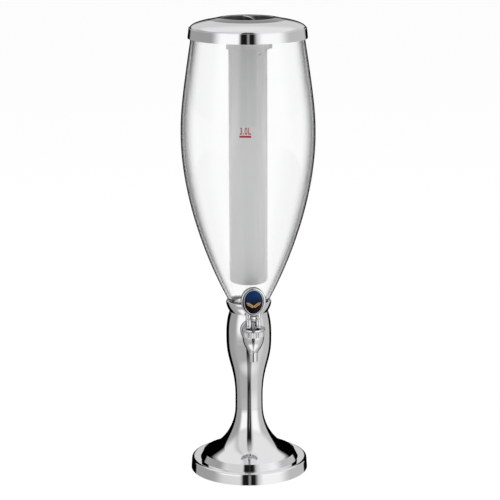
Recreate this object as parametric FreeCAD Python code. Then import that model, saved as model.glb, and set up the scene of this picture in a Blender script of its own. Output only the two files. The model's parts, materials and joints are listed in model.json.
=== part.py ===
import FreeCAD, Part
import math
import os

from FreeCAD import Vector

# Table-top beer tower: a clear tulip-shaped container on a plated pedestal, with a
# self-closing tap at the front, a hanging ice tube and a lift-off lid.
# Millimetres, +Z up, origin on the table under the middle of the base, tap towards -Y.

# ---------------------------------------------------------------- driving sizes
# Base
pad_standoff = 0.8          # the rubber pads hold the base shell this far off the table
base_height = 15.7          # shell edge to the highest ring of its top
base_ledge = 13.0           # ring of the base left bare around the pedestal foot
base_draft = 0.8            # the side wall leans in by this much
base_shoulder = 3.6         # width of the rounded shoulder
base_fall = 1.3             # the top falls from the shoulder to the foot's seat
shell_wall = 2.5            # wall of the plated mouldings
plate_recess = 0.8          # bottom cover above the shell's edge
plate_thickness = 2.4
pad_radius = 9.0
pad_inset = 1.0             # depth of the pad's pocket in the bottom cover
pad_offset = 4.0            # the pads' circle lies inside the screws' circle
weight_bore = 22.0          # cast iron ballast ring
weight_clearance = 0.9      # below the foot screws' heads
weight_margin = 1.0         # inside the screw bosses
# Pedestal foot
skirt_radius = 67.0
skirt_height = 8.8
skirt_lean = 4.2            # the skirt narrows by this much up to the ridge
flare_height = 63.0         # ridge to seam
flange_width = 15.0         # inward flange that the foot stands on
flange_thickness = 3.5
# Sleeve that joins foot and column
sleeve_cover = 3.3          # wall outside the sleeve, at the waist
sleeve_wall = 3.0
sleeve_reach = 25.0         # how far it goes into each of the two
sleeve_shelf = 2.4          # width of the shelf that stops its end
shelf_thickness = 3.0
# Column
waist_radius = 18.7
waist_rise = 14.9           # seam to waist
seam_step = 0.1             # the seam is this much wider than the waist
swell_radius = 30.6
swell_rise = 82.8           # waist to the widest ring of the column
groove_radius = 26.1
groove_rise = 38.3          # widest ring to the groove under the collar
head_flange = 3.5           # thickness of the inward flange at the column's top
head_land = 8.5             # its width
# Collar
collar_height = 15.5
lip_gap = 1.1               # collar lip to container
lip_wall = 2.3
collar_floor = 3.0
# Container
container_wall = 4.0
gasket_thickness = 1.5
gasket_inset = 1.0          # the gasket ends this far inside the container's seat
foot_inset = 2.3            # the container's foot is this much narrower than the groove
seat_inset = 4.3            # and its flat seat is this much narrower again
bottle_foot_rise = 4.5      # seat to where the long curve begins
bottle_foot_lean = 29.1     # degrees from upright
belly_radius = 89.8
belly_rise = 232.6          # foot to the widest ring
mouth_radius = 74.3
mouth_rise = 137.4          # widest ring to the rim
mouth_lean = 8.9            # degrees from upright
rim_round = 0.5
spigot_wall = 3.0
spigot_round = 2.0          # rounded entry of the spigot's bore
nut_clearance = 0.7         # ring nut inside the column's top
nut_height = 5.0
nut_width = 5.9             # from its thread outwards
nut_rim = 1.5               # its upper edge, which the notches leave whole
nut_notch = 2.0
nut_notch_count = 8
# Outlet block
shank_drop = 19.5           # tap axis below the groove
shank_radius = 6.4
shank_bore = 3.6
shank_bite = 7.7            # thread of the tap's shank inside the block
shank_collar = 9.0          # thicker stretch that passes through the column wall
washer_thickness = 2.0
block_wall = 4.5            # around the spigot's socket
block_floor = 4.6           # below the shank's thread
block_web = 0.5             # between the shank's thread and the socket
block_flat = 1.5            # depth of the flat on its front
channel_step = 2.0          # the channel down to the tap is this much narrower than the spigot
o_ring_section = 0.85
# Tap
escutcheon_radius = 15.0
escutcheon_thickness = 3.6
escutcheon_round = 1.4
neck_length = 4.1           # bare shank between escutcheon and bowl
bowl_radius = 14.4
bowl_depth = 22.0           # ring to the bead on the spout
ring_step = 0.3             # the fluted ring stands proud of the bowl
ring_height = 8.4
ring_above = 6.4            # top of the ring above the shank axis
flute_count = 36
flute_radius = 0.55
flute_margin = 0.6          # plain edge above and below the flutes
spout_radius = 5.7
spout_bore = 4.2
spout_length = 11.2
bead_height = 1.8
bead_step = 0.9
valve_wall = 3.0            # fluted ring around the valve chamber
seat_above_bead = 4.4
chamber_cone = 12.0         # height of the chamber's conical floor
bonnet_gasket_thickness = 0.6
bonnet_radius = 15.7
bonnet_thickness = 2.4
bonnet_plug = 5.0
spring_pocket = 2.0         # depth of the spring's pocket in the bonnet
stem_radius = 3.0
stem_collar_height = 2.0
spring_gap = 0.95           # stem to wire
spring_wire = 0.45          # wire radius
spring_edge = 0.35          # the stem's collar reaches past the spring by this much
spring_turns = 6
seat_height = 5.0           # silicone seat
seat_land = 0.7             # ring of contact around the spout's bore
seat_stud_radius = 2.0      # stud on the stem that holds the seat
seat_face = 1.5             # silicone below the stud
# Lever and knob
lever_width = 20.0
heel_height = 5.1           # pivot above the lever's sole
heel_reach = 5.0            # the heel's round lies this far in front of the pivot
lever_round = 2.8           # rounding of both legs, outside and in the fork
fork_clearance = 0.2        # lever leg to plunger head
fork_room = 7.0             # above the plunger's head
pin_radius = 1.5
pin_inset = 0.5             # the pin ends this far inside the lever's sides
knob_half_width = 16.5
knob_above = 17.8           # middle to top
knob_below = 20.2           # middle to bottom
knob_rise = 32.4            # pivot to the knob's middle
knob_front = 5.5
knob_back = 4.5
knob_round = 1.8
knob_socket = 10.0          # length of the lever's neck inside the knob
knob_screw_inset = 4.0      # knob screw below the neck's top
knob_head_depth = 1.2
knob_head_radius = 2.5
knob_rim_side = 3.3         # plated rim beside the badge
knob_rim_end = 2.0          # plated rim above and below the badge
neck_cover = 0.3            # knob wall between the lever's neck and the badge
badge_recess = 2.2
bezel_width = 0.6
bezel_gap = 0.3
bezel_drop = 0.6            # bezel below the knob's front
badge_crown = 1.4
# Ice tube
tube_radius = 25.8
tube_wall = 1.6
tube_rise = 33.0            # its closed end above the start of the container's long curve
tube_end_round = 5.5
tube_ring_step = 3.0
tube_ring_height = 19.2
lug_reach = 3.5
lug_width = 8.0
lug_height = 9.0
lug_round = 1.2
vent_radius = 3.6
vent_step = 0.7             # the vent boss stands proud by this much
vent_drop = 3.3             # vent boss below the ring
vent_angle = 27.5           # degrees from the tap's side towards +X
# Lid
lid_wall = 2.4
lid_gap = 1.55              # skirt to container
lid_overlap = 7.3           # skirt below the container's rim
band_height = 13.3
band_draft = 1.4
band_step = 1.3
dome_rise = 10.4
dome_width = 26.7           # band to the plated middle
grip_rise = 2.7
grip_width = 16.6           # the plated middle, up to the recess
grip_lap = 3.0              # its flange under the dome
grip_flange = 1.8
grip_gap = 0.2              # fine groove around the plated middle
grip_wall = 2.2
recess_draft = 2.2
recess_round = 1.2
bar_drop = 0.8              # finger bar below the highest ring
bar_turn = -6.5             # degrees
liner_plate = 2.5
liner_drop = 3.5            # the liner's middle hangs this far below its rim
liner_gap = 1.0             # liner to the container's mouth
seal_thickness = 2.0
seal_width = 2.8
seal_inset = 1.0            # depth of the seal's groove in the liner
plug_length = 11.5
plug_wall = 3.4
tube_ring_section = 0.8     # O-ring on the plug
lid_screw_count = 4
# Fasteners and clearances
screw_radius = 1.5
screw_head = 3.0
screw_head_height = 1.8
screw_bite = 6.0            # thread inside a boss
screw_cover = 1.0           # plastic left above a screw's tip
boss_wall = 2.5
boss_skin = 0.4             # plastic left between a boss and the lid's outside
screw_inset = 10.0          # base screws inside the rounded shoulder
base_screw_count = 4
foot_screw_count = 3
collar_screw_count = 3
fit = 0.3                   # clearance between parts that only lie beside each other
running = 0.05              # radial clearance of a shaft in its hole

# ---------------------------------------------------------------- heights and radii
skirt_seat = pad_standoff + base_height - base_fall
ridge_height = skirt_seat + skirt_height
seam_height = ridge_height + flare_height
waist_height = seam_height + waist_rise
swell_height = waist_height + swell_rise
groove_height = swell_height + groove_rise
base_radius = skirt_radius + base_ledge
plate_bottom = pad_standoff + plate_recess
plate_top = plate_bottom + plate_thickness
base_under = skirt_seat - shell_wall
boss_radius = screw_radius + boss_wall
screw_circle = base_radius - base_shoulder - screw_inset
pad_circle = screw_circle - pad_offset
seam_radius = waist_radius + seam_step
sleeve_radius = waist_radius - sleeve_cover
sleeve_bore = sleeve_radius - sleeve_wall
shelf_low = seam_height - sleeve_reach
shelf_high = seam_height + sleeve_reach
head_bore = groove_radius - head_land
collar_screw_circle = (head_bore + groove_radius - shell_wall) / 2

cup_floor = groove_height + collar_floor
lip_top = groove_height + collar_height
bottle_seat = cup_floor + gasket_thickness
bottle_foot = bottle_seat + bottle_foot_rise
bottle_foot_radius = groove_radius - foot_inset
bottle_seat_radius = bottle_foot_radius - seat_inset
belly_height = bottle_foot + belly_rise
rim_height = belly_height + mouth_rise
nut_radius = head_bore - nut_clearance
nut_bottom = groove_height - nut_height
spigot_radius = nut_radius - nut_width
spigot_bore = spigot_radius - spigot_wall

shank_height = groove_height - shank_drop
block_socket = shank_height + shank_radius + block_web
spigot_end = block_socket + fit
block_top = nut_bottom - fit
block_radius = spigot_radius + block_wall
block_face = -(block_radius - block_flat)
washer_end = block_face - washer_thickness
o_ring_height = (block_socket + block_top) / 2
o_ring_circle = spigot_radius + running + o_ring_section

ring_top = shank_height + ring_above
ring_bottom = ring_top - ring_height
bead_top = ring_bottom - bowl_depth
bead_bottom = bead_top - bead_height
spout_end = bead_bottom - spout_length
chamber_radius = bowl_radius - valve_wall
seat_bottom = bead_top + seat_above_bead
seat_top = seat_bottom + seat_height
stem_collar_top = seat_top + stem_collar_height
spring_radius = stem_radius + spring_gap + spring_wire
stem_collar_radius = spring_radius + spring_wire + spring_edge
bonnet_bottom = ring_top + bonnet_gasket_thickness
bonnet_top = bonnet_bottom + bonnet_thickness
spring_top = bonnet_bottom - spring_pocket
pin_height = bonnet_top + fit + heel_height
knob_middle = pin_height + knob_rise
neck_start = knob_rise - knob_below - fit      # above the pivot
neck_end = neck_start + knob_socket
knob_floor = knob_front - badge_recess         # in front of the tap axis
neck_depth = 2 * (knob_floor - neck_cover)

liner_seat = rim_height + seal_thickness - seal_inset
liner_under = liner_seat - liner_drop
liner_top = liner_under + liner_plate
skirt_bottom = rim_height - lid_overlap
skirt_inner = mouth_radius + lid_overlap * math.tan(math.radians(mouth_lean)) + lid_gap
skirt_outer = skirt_inner + lid_wall
band_top = skirt_bottom + band_height
dome_edge = skirt_outer - band_draft - band_step
dome_top = band_top + dome_rise
grip_radius = dome_edge - dome_width
grip_top = dome_top + grip_rise
recess_radius = grip_radius - grip_width
recess_floor = liner_top + grip_wall
lid_screw_circle = grip_radius + grip_lap + boss_radius + fit
plug_radius = mouth_radius - container_wall - liner_gap
tube_top = liner_under - fit
tube_bottom = bottle_foot + tube_rise
tube_bore = tube_radius - tube_wall
tube_ring_bottom = tube_top - tube_ring_height
tube_plug = tube_bore - fit
tube_o_ring_height = liner_under - plug_length / 2


# ---------------------------------------------------------------- drawing helpers
def leaning(start, lean, reach):
    """Point at a distance from start, along a line leaning outwards by lean degrees."""
    angle = math.radians(lean)
    return start[0] + reach * math.sin(angle), start[1] + reach * math.cos(angle)


def inside(poles, wall):
    """The same upward curve, one wall nearer the axis."""
    moved = []
    for pair in (poles[:2], poles[-2:]):
        run = pair[1][0] - pair[0][0]
        rise = pair[1][1] - pair[0][1]
        scale = wall / math.hypot(run, rise)
        moved += [(r - rise * scale, z + run * scale) for r, z in pair]
    return moved


def crossing(poles, index, value):
    """Where a curve of four poles has a certain radius (index 0) or height (index 1)."""
    rising = poles[0][index] < poles[-1][index]
    low, high = 0.0, 1.0
    for _ in range(50):
        t = (low + high) / 2
        weights = ((1 - t) ** 3, 3 * t * (1 - t) ** 2, 3 * t * t * (1 - t), t ** 3)
        point = [sum(w * pole[i] for w, pole in zip(weights, poles)) for i in (0, 1)]
        if (point[index] < value) == rising:
            low = t
        else:
            high = t
    return point


class Outline:
    """A closed outline of (radius, height) points, turned about an upright axis."""

    def __init__(self, radius, height):
        self.first = Vector(radius, 0, height)
        self.last = self.first
        self.edges = []

    def line(self, *points):
        for radius, height in points:
            end = Vector(radius, 0, height)
            self.edges.append(Part.LineSegment(self.last, end).toShape())
            self.last = end
        return self

    def curve(self, *poles):
        """Bezier curve from the last point, over the poles, to the last pole."""
        bezier = Part.BezierCurve()
        bezier.setPoles([self.last] + [Vector(r, 0, z) for r, z in poles])
        self.edges.append(bezier.toShape())
        self.last = Vector(poles[-1][0], 0, poles[-1][1])
        return self

    def turn(self, y=0.0):
        self.edges.append(Part.LineSegment(self.last, self.first).toShape())
        face = Part.Face(Part.Wire(self.edges))
        solid = face.revolve(Vector(0, 0, 0), Vector(0, 0, 1), 360)
        solid.translate(Vector(0, y, 0))
        return solid


def disc(radius, bottom, top, x=0.0, y=0.0):
    return Part.makeCylinder(radius, top - bottom, Vector(x, y, bottom))


def ring(outer, inner, bottom, top, y=0.0):
    return disc(outer, bottom, top, y=y).cut(disc(inner, bottom, top, y=y))


def forward_bar(radius, height, y_from, y_to):
    """Cylinder along Y."""
    return Part.makeCylinder(radius, y_to - y_from, Vector(0, y_from, height), Vector(0, 1, 0))


def around(count, radius, first=0.0):
    """Points evenly spaced on a circle."""
    for i in range(count):
        angle = math.radians(first + 360.0 * i / count)
        yield radius * math.cos(angle), radius * math.sin(angle)


def screw(x, y, head_top, tip):
    """Pan-headed screw driven upwards, its head under the height head_top."""
    head = disc(screw_head, head_top - screw_head_height, head_top, x, y)
    return head.fuse(disc(screw_radius, head_top, tip, x, y)).removeSplitter()


def flush_screw(x, y, face, depth, direction):
    """Countersunk screw whose head is flush with a face; direction is +1 up or -1 down."""
    head = Part.makeCone(screw_head, screw_radius, screw_head_height, Vector(x, y, face),
                         Vector(0, 0, direction))
    shank = Part.makeCylinder(screw_radius, depth, Vector(x, y, face), Vector(0, 0, direction))
    return head.fuse(shank).removeSplitter()


def save(node, *solids):
    shape = solids[0] if len(solids) == 1 else Part.makeCompound(list(solids))
    shape.exportStep("parts/%s.step" % node)


# ---------------------------------------------------------------- curves shared by parts
ridge_point = (skirt_radius - skirt_lean, ridge_height)
seam_point = (seam_radius, seam_height)
swell_point = (swell_radius, swell_height)
groove_point = (groove_radius, groove_height)
foot_point = (bottle_foot_radius, bottle_foot)
mouth_point = (mouth_radius, rim_height)
flare = [
    ridge_point,
    leaning(ridge_point, -78.0, 0.276 * flare_height),
    leaning(seam_point, 178.6, 0.575 * flare_height),
    seam_point,
]
waist = [
    seam_point,
    (seam_radius - seam_step / 2, seam_height + 0.3 * waist_rise),
    (waist_radius, waist_height - 0.3 * waist_rise),
    (waist_radius, waist_height),
]
swell = [
    (waist_radius, waist_height),
    (waist_radius, waist_height + 0.505 * swell_rise),
    (swell_radius, swell_height - 0.395 * swell_rise),
    swell_point,
]
shoulder = [
    swell_point,
    (swell_radius, swell_height + 0.1 * groove_rise),
    leaning(groove_point, 159.0, 0.4 * groove_rise),
    groove_point,
]
lower_bottle = [
    foot_point,
    leaning(foot_point, bottle_foot_lean, 0.315 * belly_rise),
    (belly_radius, belly_height - 0.332 * belly_rise),
    (belly_radius, belly_height),
]
upper_bottle = [
    (belly_radius, belly_height),
    (belly_radius, belly_height + 0.184 * mouth_rise),
    leaning(mouth_point, 180.0 - mouth_lean, 0.72 * mouth_rise),
    mouth_point,
]
dome = [
    (dome_edge, band_top),
    (dome_edge - 0.03 * dome_width, band_top + 0.45 * dome_rise),
    (grip_radius + 0.525 * dome_width, band_top + 0.78 * dome_rise),
    (grip_radius, dome_top),
]
dome_inner = inside(dome, lid_wall)
foot_hollow = inside(flare, shell_wall)
hollow_radius, hollow_start = foot_hollow[0]
foot_screw_circle = hollow_radius - boss_radius - fit
column_at_tap = crossing(shoulder, 1, shank_height)[0]
escutcheon_face = column_at_tap + escutcheon_thickness
tap_y = -(escutcheon_face + neck_length + bowl_radius)


# ---------------------------------------------------------------- base
def make_base_disc():
    side = base_radius - base_draft
    top = pad_standoff + base_height
    shell = Outline(base_radius, pad_standoff)
    shell.line((side, top - base_shoulder))
    shell.curve((side, top), (side - base_shoulder, top))
    shell.line((skirt_radius + fit, skirt_seat), (weight_bore, skirt_seat),
               (weight_bore, base_under), (side - shell_wall, base_under),
               (base_radius - shell_wall, pad_standoff))
    solid = shell.turn()
    for x, y in around(base_screw_count, screw_circle):
        solid = solid.fuse(disc(boss_radius, plate_top, base_under, x, y))
        solid = solid.cut(disc(screw_radius, plate_top, plate_top + screw_bite, x, y))
    for x, y in around(foot_screw_count, foot_screw_circle, 90.0):
        solid = solid.cut(disc(screw_radius, base_under, skirt_seat, x, y))
    return solid.removeSplitter()


def pad_places():
    """One pad between each two screws."""
    return around(base_screw_count, pad_circle, 180.0 / base_screw_count)


def make_base_plate():
    solid = disc(base_radius - shell_wall - fit, plate_bottom, plate_top)
    for x, y in around(base_screw_count, screw_circle):
        solid = solid.cut(flush_screw(x, y, plate_bottom, plate_thickness, 1))
    for x, y in pad_places():
        solid = solid.cut(disc(pad_radius, plate_bottom, plate_bottom + pad_inset, x, y))
    return solid


def make_base_weight():
    outer = screw_circle - boss_radius - weight_margin
    top = base_under - screw_head_height - weight_clearance
    return ring(outer, weight_bore, plate_top, top)


def make_rubber_pads():
    return [disc(pad_radius, 0.0, plate_bottom + pad_inset, x, y) for x, y in pad_places()]


def make_base_screws():
    return [flush_screw(x, y, plate_bottom, plate_thickness + screw_bite, 1)
            for x, y in around(base_screw_count, screw_circle)]


# ---------------------------------------------------------------- pedestal
def turned(*runs):
    """Solid of everything between the axis and a chain of curves."""
    body = Outline(0, runs[0][0][1]).line(runs[0][0])
    for run in runs:
        body.curve(*run[1:])
    return body.line((0, runs[-1][-1][1])).turn()


def make_pedestal_foot():
    outer = Outline(0, skirt_seat).line((skirt_radius, skirt_seat), ridge_point)
    outer.curve(*flare[1:]).line((0, seam_height))
    flange_top = skirt_seat + flange_thickness
    hollow = turned(foot_hollow).common(disc(skirt_radius, hollow_start,
                                             shelf_low - shelf_thickness))
    solid = outer.turn().cut(hollow).cut(disc(hollow_radius, flange_top, hollow_start))
    solid = solid.cut(disc(skirt_radius - flange_width, skirt_seat, flange_top))
    for x, y in around(foot_screw_count, foot_screw_circle, 90.0):
        solid = solid.fuse(disc(boss_radius, skirt_seat, hollow_start, x, y))
        solid = solid.cut(disc(screw_radius, skirt_seat, hollow_start - screw_cover, x, y))
    solid = solid.cut(disc(sleeve_radius - sleeve_shelf, skirt_seat, seam_height))
    return solid.cut(disc(sleeve_radius, shelf_low, seam_height))


def make_foot_screws():
    return [screw(x, y, base_under, hollow_start - screw_cover)
            for x, y in around(foot_screw_count, foot_screw_circle, 90.0)]


def make_joining_sleeve():
    return ring(sleeve_radius, sleeve_bore, shelf_low, shelf_high)


def column_form():
    return turned(waist, swell, shoulder)


def make_pedestal_column():
    head_under = groove_height - head_flange
    hollow = turned(inside(swell, shell_wall), inside(shoulder, shell_wall))
    hollow = hollow.common(disc(swell_radius, shelf_high + shelf_thickness, head_under))
    solid = column_form().cut(hollow)
    solid = solid.cut(disc(sleeve_radius, seam_height, shelf_high))
    solid = solid.cut(disc(sleeve_radius - sleeve_shelf, shelf_high, swell_height))
    solid = solid.cut(disc(head_bore, swell_height, groove_height))
    for x, y in around(collar_screw_count, collar_screw_circle, 90.0):
        solid = solid.cut(disc(screw_radius, head_under, groove_height, x, y))
    return solid.cut(forward_bar(shank_collar + fit, shank_height, -2 * swell_radius, 0))


def make_pedestal_collar():
    inner = crossing(lower_bottle, 1, lip_top)[0] + lip_gap
    outer = inner + lip_wall
    widening = outer - groove_radius
    body = Outline(*groove_point)
    body.curve((groove_radius + 0.54 * widening, groove_height + 0.30 * collar_height),
               (outer - 0.11 * widening, groove_height + 0.52 * collar_height),
               (outer, groove_height + 0.82 * collar_height))
    body.curve((outer, lip_top), (outer - lip_wall / 2, lip_top))
    body.curve((inner, lip_top), (inner, groove_height + 0.82 * collar_height))
    body.curve((inner, cup_floor + 0.36 * collar_height),
               (bottle_foot_radius + 0.5 * widening, cup_floor + 0.14 * collar_height),
               (bottle_foot_radius, cup_floor))
    body.line((spigot_radius + fit, cup_floor), (spigot_radius + fit, groove_height))
    solid = body.turn()
    for x, y in around(collar_screw_count, collar_screw_circle, 90.0):
        solid = solid.cut(flush_screw(x, y, cup_floor, collar_floor, -1))
    return solid


def make_collar_screws():
    return [flush_screw(x, y, cup_floor, collar_floor + head_flange, -1)
            for x, y in around(collar_screw_count, collar_screw_circle, 90.0)]


# ---------------------------------------------------------------- container
def make_container():
    toe = leaning(foot_point, bottle_foot_lean,
                  -bottle_foot_rise / math.cos(math.radians(bottle_foot_lean)))
    inner_upper = inside(upper_bottle, container_wall)
    inner_lower = inside(lower_bottle, container_wall)
    rim_inner = mouth_radius - container_wall
    floor = bottle_seat + container_wall
    body = Outline(spigot_bore, spigot_end)
    body.line((spigot_radius, spigot_end), (spigot_radius, bottle_seat),
              (bottle_seat_radius, bottle_seat))
    body.curve(toe, foot_point)
    body.curve(*lower_bottle[1:])
    body.curve(*upper_bottle[1:3], (mouth_radius, rim_height - rim_round))
    body.curve((mouth_radius, rim_height), (mouth_radius - rim_round, rim_height))
    body.line((rim_inner + rim_round, rim_height))
    body.curve((rim_inner, rim_height), (rim_inner, rim_height - rim_round))
    body.curve(inner_upper[2], inner_upper[1], inner_upper[0])
    body.curve(inner_lower[2], inner_lower[1], inner_lower[0])
    body.curve((bottle_seat_radius, floor), (spigot_bore + spigot_round, floor))
    body.curve((spigot_bore, floor), (spigot_bore, floor - spigot_round))
    return body.turn()


def make_container_gasket():
    return ring(bottle_seat_radius - gasket_inset, spigot_radius + fit, cup_floor, bottle_seat)


def make_container_nut():
    solid = ring(nut_radius, spigot_radius, nut_bottom, groove_height)
    for x, y in around(nut_notch_count, nut_radius):
        solid = solid.cut(disc(nut_notch, nut_bottom, groove_height - nut_rim, x, y))
    return solid


# ---------------------------------------------------------------- outlet
def make_outlet_block():
    bottom = shank_height - shank_radius - block_floor
    solid = disc(block_radius, bottom, block_top)
    front = Part.makeBox(2 * block_radius, block_radius, block_top,
                         Vector(-block_radius, block_face - block_radius, 0))
    solid = solid.cut(front)
    solid = solid.cut(disc(spigot_radius + 2 * running, block_socket, block_top))
    groove_half = o_ring_section + running
    solid = solid.cut(disc(o_ring_circle + groove_half, o_ring_height - groove_half,
                           o_ring_height + groove_half))
    solid = solid.cut(disc(spigot_bore - channel_step, shank_height - shank_radius, block_socket))
    return solid.cut(forward_bar(shank_radius, shank_height, block_face,
                                 block_face + shank_bite))


def make_spigot_o_ring():
    return Part.makeTorus(o_ring_circle, o_ring_section, Vector(0, 0, o_ring_height))


def make_shank_washer():
    washer = forward_bar(shank_collar, shank_height, washer_end, block_face)
    return washer.cut(forward_bar(shank_radius, shank_height, washer_end, block_face))


def make_tap_escutcheon():
    plate = forward_bar(escutcheon_radius, shank_height, -escutcheon_face, -swell_radius / 2)
    front = [e for e in plate.Edges
             if e.BoundBox.YLength < 0.01 and e.BoundBox.YMax < -column_at_tap]
    plate = plate.makeFillet(escutcheon_round, front).cut(column_form())
    return plate.cut(forward_bar(shank_collar, shank_height, -escutcheon_face, 0))


# ---------------------------------------------------------------- tap
def make_tap_body():
    bead_radius = spout_radius + bead_step
    body = Outline(spout_bore, spout_end)
    body.line((spout_radius - rim_round, spout_end))
    body.curve((spout_radius, spout_end), (spout_radius, spout_end + rim_round))
    body.line((spout_radius, bead_bottom))
    body.curve((bead_radius, bead_bottom), (bead_radius, (bead_bottom + bead_top) / 2))
    body.curve((bead_radius, bead_top), (spout_radius + bead_step / 3, bead_top))
    body.curve((0.555 * bowl_radius, bead_top + 0.135 * bowl_depth),
               (0.945 * bowl_radius, bead_top + 0.43 * bowl_depth),
               (bowl_radius, ring_bottom - 0.09 * bowl_depth))
    body.line((bowl_radius, ring_bottom), (bowl_radius + ring_step, ring_bottom),
              (bowl_radius + ring_step, ring_top), (chamber_radius, ring_top),
              (chamber_radius, seat_bottom + chamber_cone),
              (spout_bore + seat_land + fit, seat_bottom), (spout_bore, seat_bottom))
    solid = body.turn(tap_y)
    shank = forward_bar(shank_radius, shank_height, tap_y, block_face + shank_bite)
    shank = shank.fuse(forward_bar(shank_collar, shank_height, -escutcheon_face, washer_end))
    solid = solid.fuse(shank.cut(disc(bowl_radius - valve_wall / 2, spout_end, ring_top, y=tap_y)))
    solid = solid.cut(forward_bar(shank_bore, shank_height, tap_y, 0))
    flute_circle = bowl_radius + ring_step + flute_radius / 4
    flutes = [disc(flute_radius, ring_bottom + flute_margin, ring_top - flute_margin, x, tap_y + y)
              for x, y in around(flute_count, flute_circle, 180.0 / flute_count)
              if y < 0.8 * bowl_radius]
    return solid.cut(Part.makeCompound(flutes))


def make_bonnet_gasket():
    return ring(bowl_radius, chamber_radius, ring_top, bonnet_bottom, tap_y)


def make_tap_bonnet():
    pocket = spring_radius + spring_wire + 2 * spring_edge
    bore = stem_radius + running
    rounding = bonnet_thickness / 3
    body = Outline(bore, bonnet_top)
    body.line((bonnet_radius - rounding, bonnet_top))
    body.curve((bonnet_radius, bonnet_top), (bonnet_radius, bonnet_top - rounding))
    body.line((bonnet_radius, bonnet_bottom + rounding / 2),
              (bonnet_radius - rounding / 2, bonnet_bottom),
              (chamber_radius, bonnet_bottom), (chamber_radius, bonnet_bottom - bonnet_plug),
              (pocket, bonnet_bottom - bonnet_plug), (pocket, spring_top), (bore, spring_top))
    return body.turn(tap_y)


def make_tap_stem():
    body = Outline(0, seat_bottom + seat_face)
    body.line((seat_stud_radius, seat_bottom + seat_face), (seat_stud_radius, seat_top),
              (stem_collar_radius, seat_top), (stem_collar_radius, stem_collar_top),
              (stem_radius, stem_collar_top), (stem_radius, pin_height))
    solid = body.line((0, pin_height)).turn(tap_y)
    head = Part.makeSphere(stem_radius, Vector(0, tap_y, pin_height))
    return solid.fuse(head).removeSplitter().cut(cross_bar(pin_radius + running, stem_radius))


def cross_bar(radius, half_length):
    """Cylinder along the lever's pivot."""
    return Part.makeCylinder(radius, 2 * half_length, Vector(-half_length, tap_y, pin_height),
                             Vector(1, 0, 0))


def make_tap_seat():
    body = Outline(0, seat_bottom)
    body.line((spout_bore + seat_land, seat_bottom), (stem_collar_radius, seat_top),
              (seat_stud_radius, seat_top), (seat_stud_radius, seat_bottom + seat_face),
              (0, seat_bottom + seat_face))
    return body.turn(tap_y)


def make_tap_spring():
    """Coil of wire, drawn with eight flats."""
    low = stem_collar_top + spring_wire
    high = spring_top - spring_wire
    helix = Part.makeHelix((high - low) / spring_turns, high - low, spring_radius)
    corners = [Vector(spring_radius + x, 0, z) for x, z in around(8, spring_wire)]
    section = Part.makePolygon(corners + corners[:1])
    coil = Part.Wire(helix).makePipeShell([section], True, True)
    coil.translate(Vector(0, tap_y, low))
    return coil


# ---------------------------------------------------------------- lever and knob
def lever_side():
    """Side view of the lever, around its pivot: heel, neck and back."""
    neck = neck_depth / 2
    slant = heel_height * math.sqrt(0.5)

    def at(forward, up):
        return Vector(0, -forward, up)

    def bezier(*poles):
        curve = Part.BezierCurve()
        curve.setPoles(list(poles))
        return curve

    toe = heel_reach + heel_height
    runs = [
        Part.LineSegment(at(0, -heel_height), at(heel_reach, -heel_height)),
        Part.Arc(at(heel_reach, -heel_height), at(heel_reach + slant, -slant), at(toe, 0)),
        bezier(at(toe, 0), at(toe, 0.9 * neck_start), at(neck, 0.5 * neck_start),
               at(neck, neck_start)),
        Part.LineSegment(at(neck, neck_start), at(neck, neck_end)),
        Part.LineSegment(at(neck, neck_end), at(-neck, neck_end)),
        Part.LineSegment(at(-neck, neck_end), at(-neck, neck_start)),
        bezier(at(-neck, neck_start), at(-neck, 0.6 * neck_start),
               at(-heel_height, 0.6 * neck_start), at(-heel_height, 0)),
        Part.Arc(at(-heel_height, 0), at(-slant, -slant), at(0, -heel_height)),
    ]
    return Part.Face(Part.Wire([run.toShape() for run in runs]))


def make_lever_form():
    """The lever before its screw hole."""
    side = lever_side()
    side.translate(Vector(-lever_width / 2, 0, 0))
    solid = side.extrude(Vector(lever_width, 0, 0))
    flanks = [e for e in solid.Edges if e.BoundBox.XLength < 0.01]
    solid = solid.makeFillet(lever_round, flanks)
    half_gap = stem_radius + fork_clearance
    arch_height = stem_radius + fork_room - half_gap
    slot = Part.makeBox(2 * half_gap, 4 * lever_width, heel_height + arch_height,
                        Vector(-half_gap, -2 * lever_width, -heel_height))
    arch = Part.makeCylinder(half_gap, 4 * lever_width,
                             Vector(0, -2 * lever_width, arch_height), Vector(0, 1, 0))
    solid = solid.cut(slot.fuse(arch).removeSplitter())
    lips = [e for e in solid.Edges if max(-e.BoundBox.XMin, e.BoundBox.XMax) < half_gap + 0.01
            and (e.BoundBox.ZLength > 0.01 or e.BoundBox.ZMax < 0)]
    solid = solid.makeFillet(lever_round, lips)
    solid.translate(Vector(0, tap_y, pin_height))
    return solid.cut(cross_bar(pin_radius, lever_width))


def make_knob_screw():
    height = pin_height + neck_end - knob_screw_inset
    back = tap_y + knob_back
    shank = forward_bar(screw_radius, height, tap_y - neck_depth / 2, back)
    head = forward_bar(knob_head_radius, height, back - knob_head_depth, back)
    return shank.fuse(head).removeSplitter()


def make_tap_lever():
    return make_lever_form().cut(make_knob_screw())


def make_lever_pin():
    return cross_bar(pin_radius, lever_width / 2 - pin_inset)


def egg_plate(inset_side, inset_end, front, back):
    """Upright egg-shaped plate, inside the knob's outline, between two depths in front of
    the tap axis."""
    half_width = knob_half_width - inset_side
    k = 4 * (math.sqrt(2) - 1) / 3
    edges = []
    for side, end in ((1, knob_above - inset_end), (-1, knob_above - inset_end),
                      (-1, inset_end - knob_below), (1, inset_end - knob_below)):
        flank = Vector(side * half_width, 0, 0)
        tip = Vector(0, 0, end)
        quarter = Part.BezierCurve()
        quarter.setPoles([flank, flank + tip * k, tip + flank * k, tip])
        edges.append(quarter.toShape())
    face = Part.Face(Part.Wire(Part.__sortEdges__(edges)))
    face.translate(Vector(0, tap_y - back, knob_middle))
    return face.extrude(Vector(0, back - front, 0))


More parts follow.
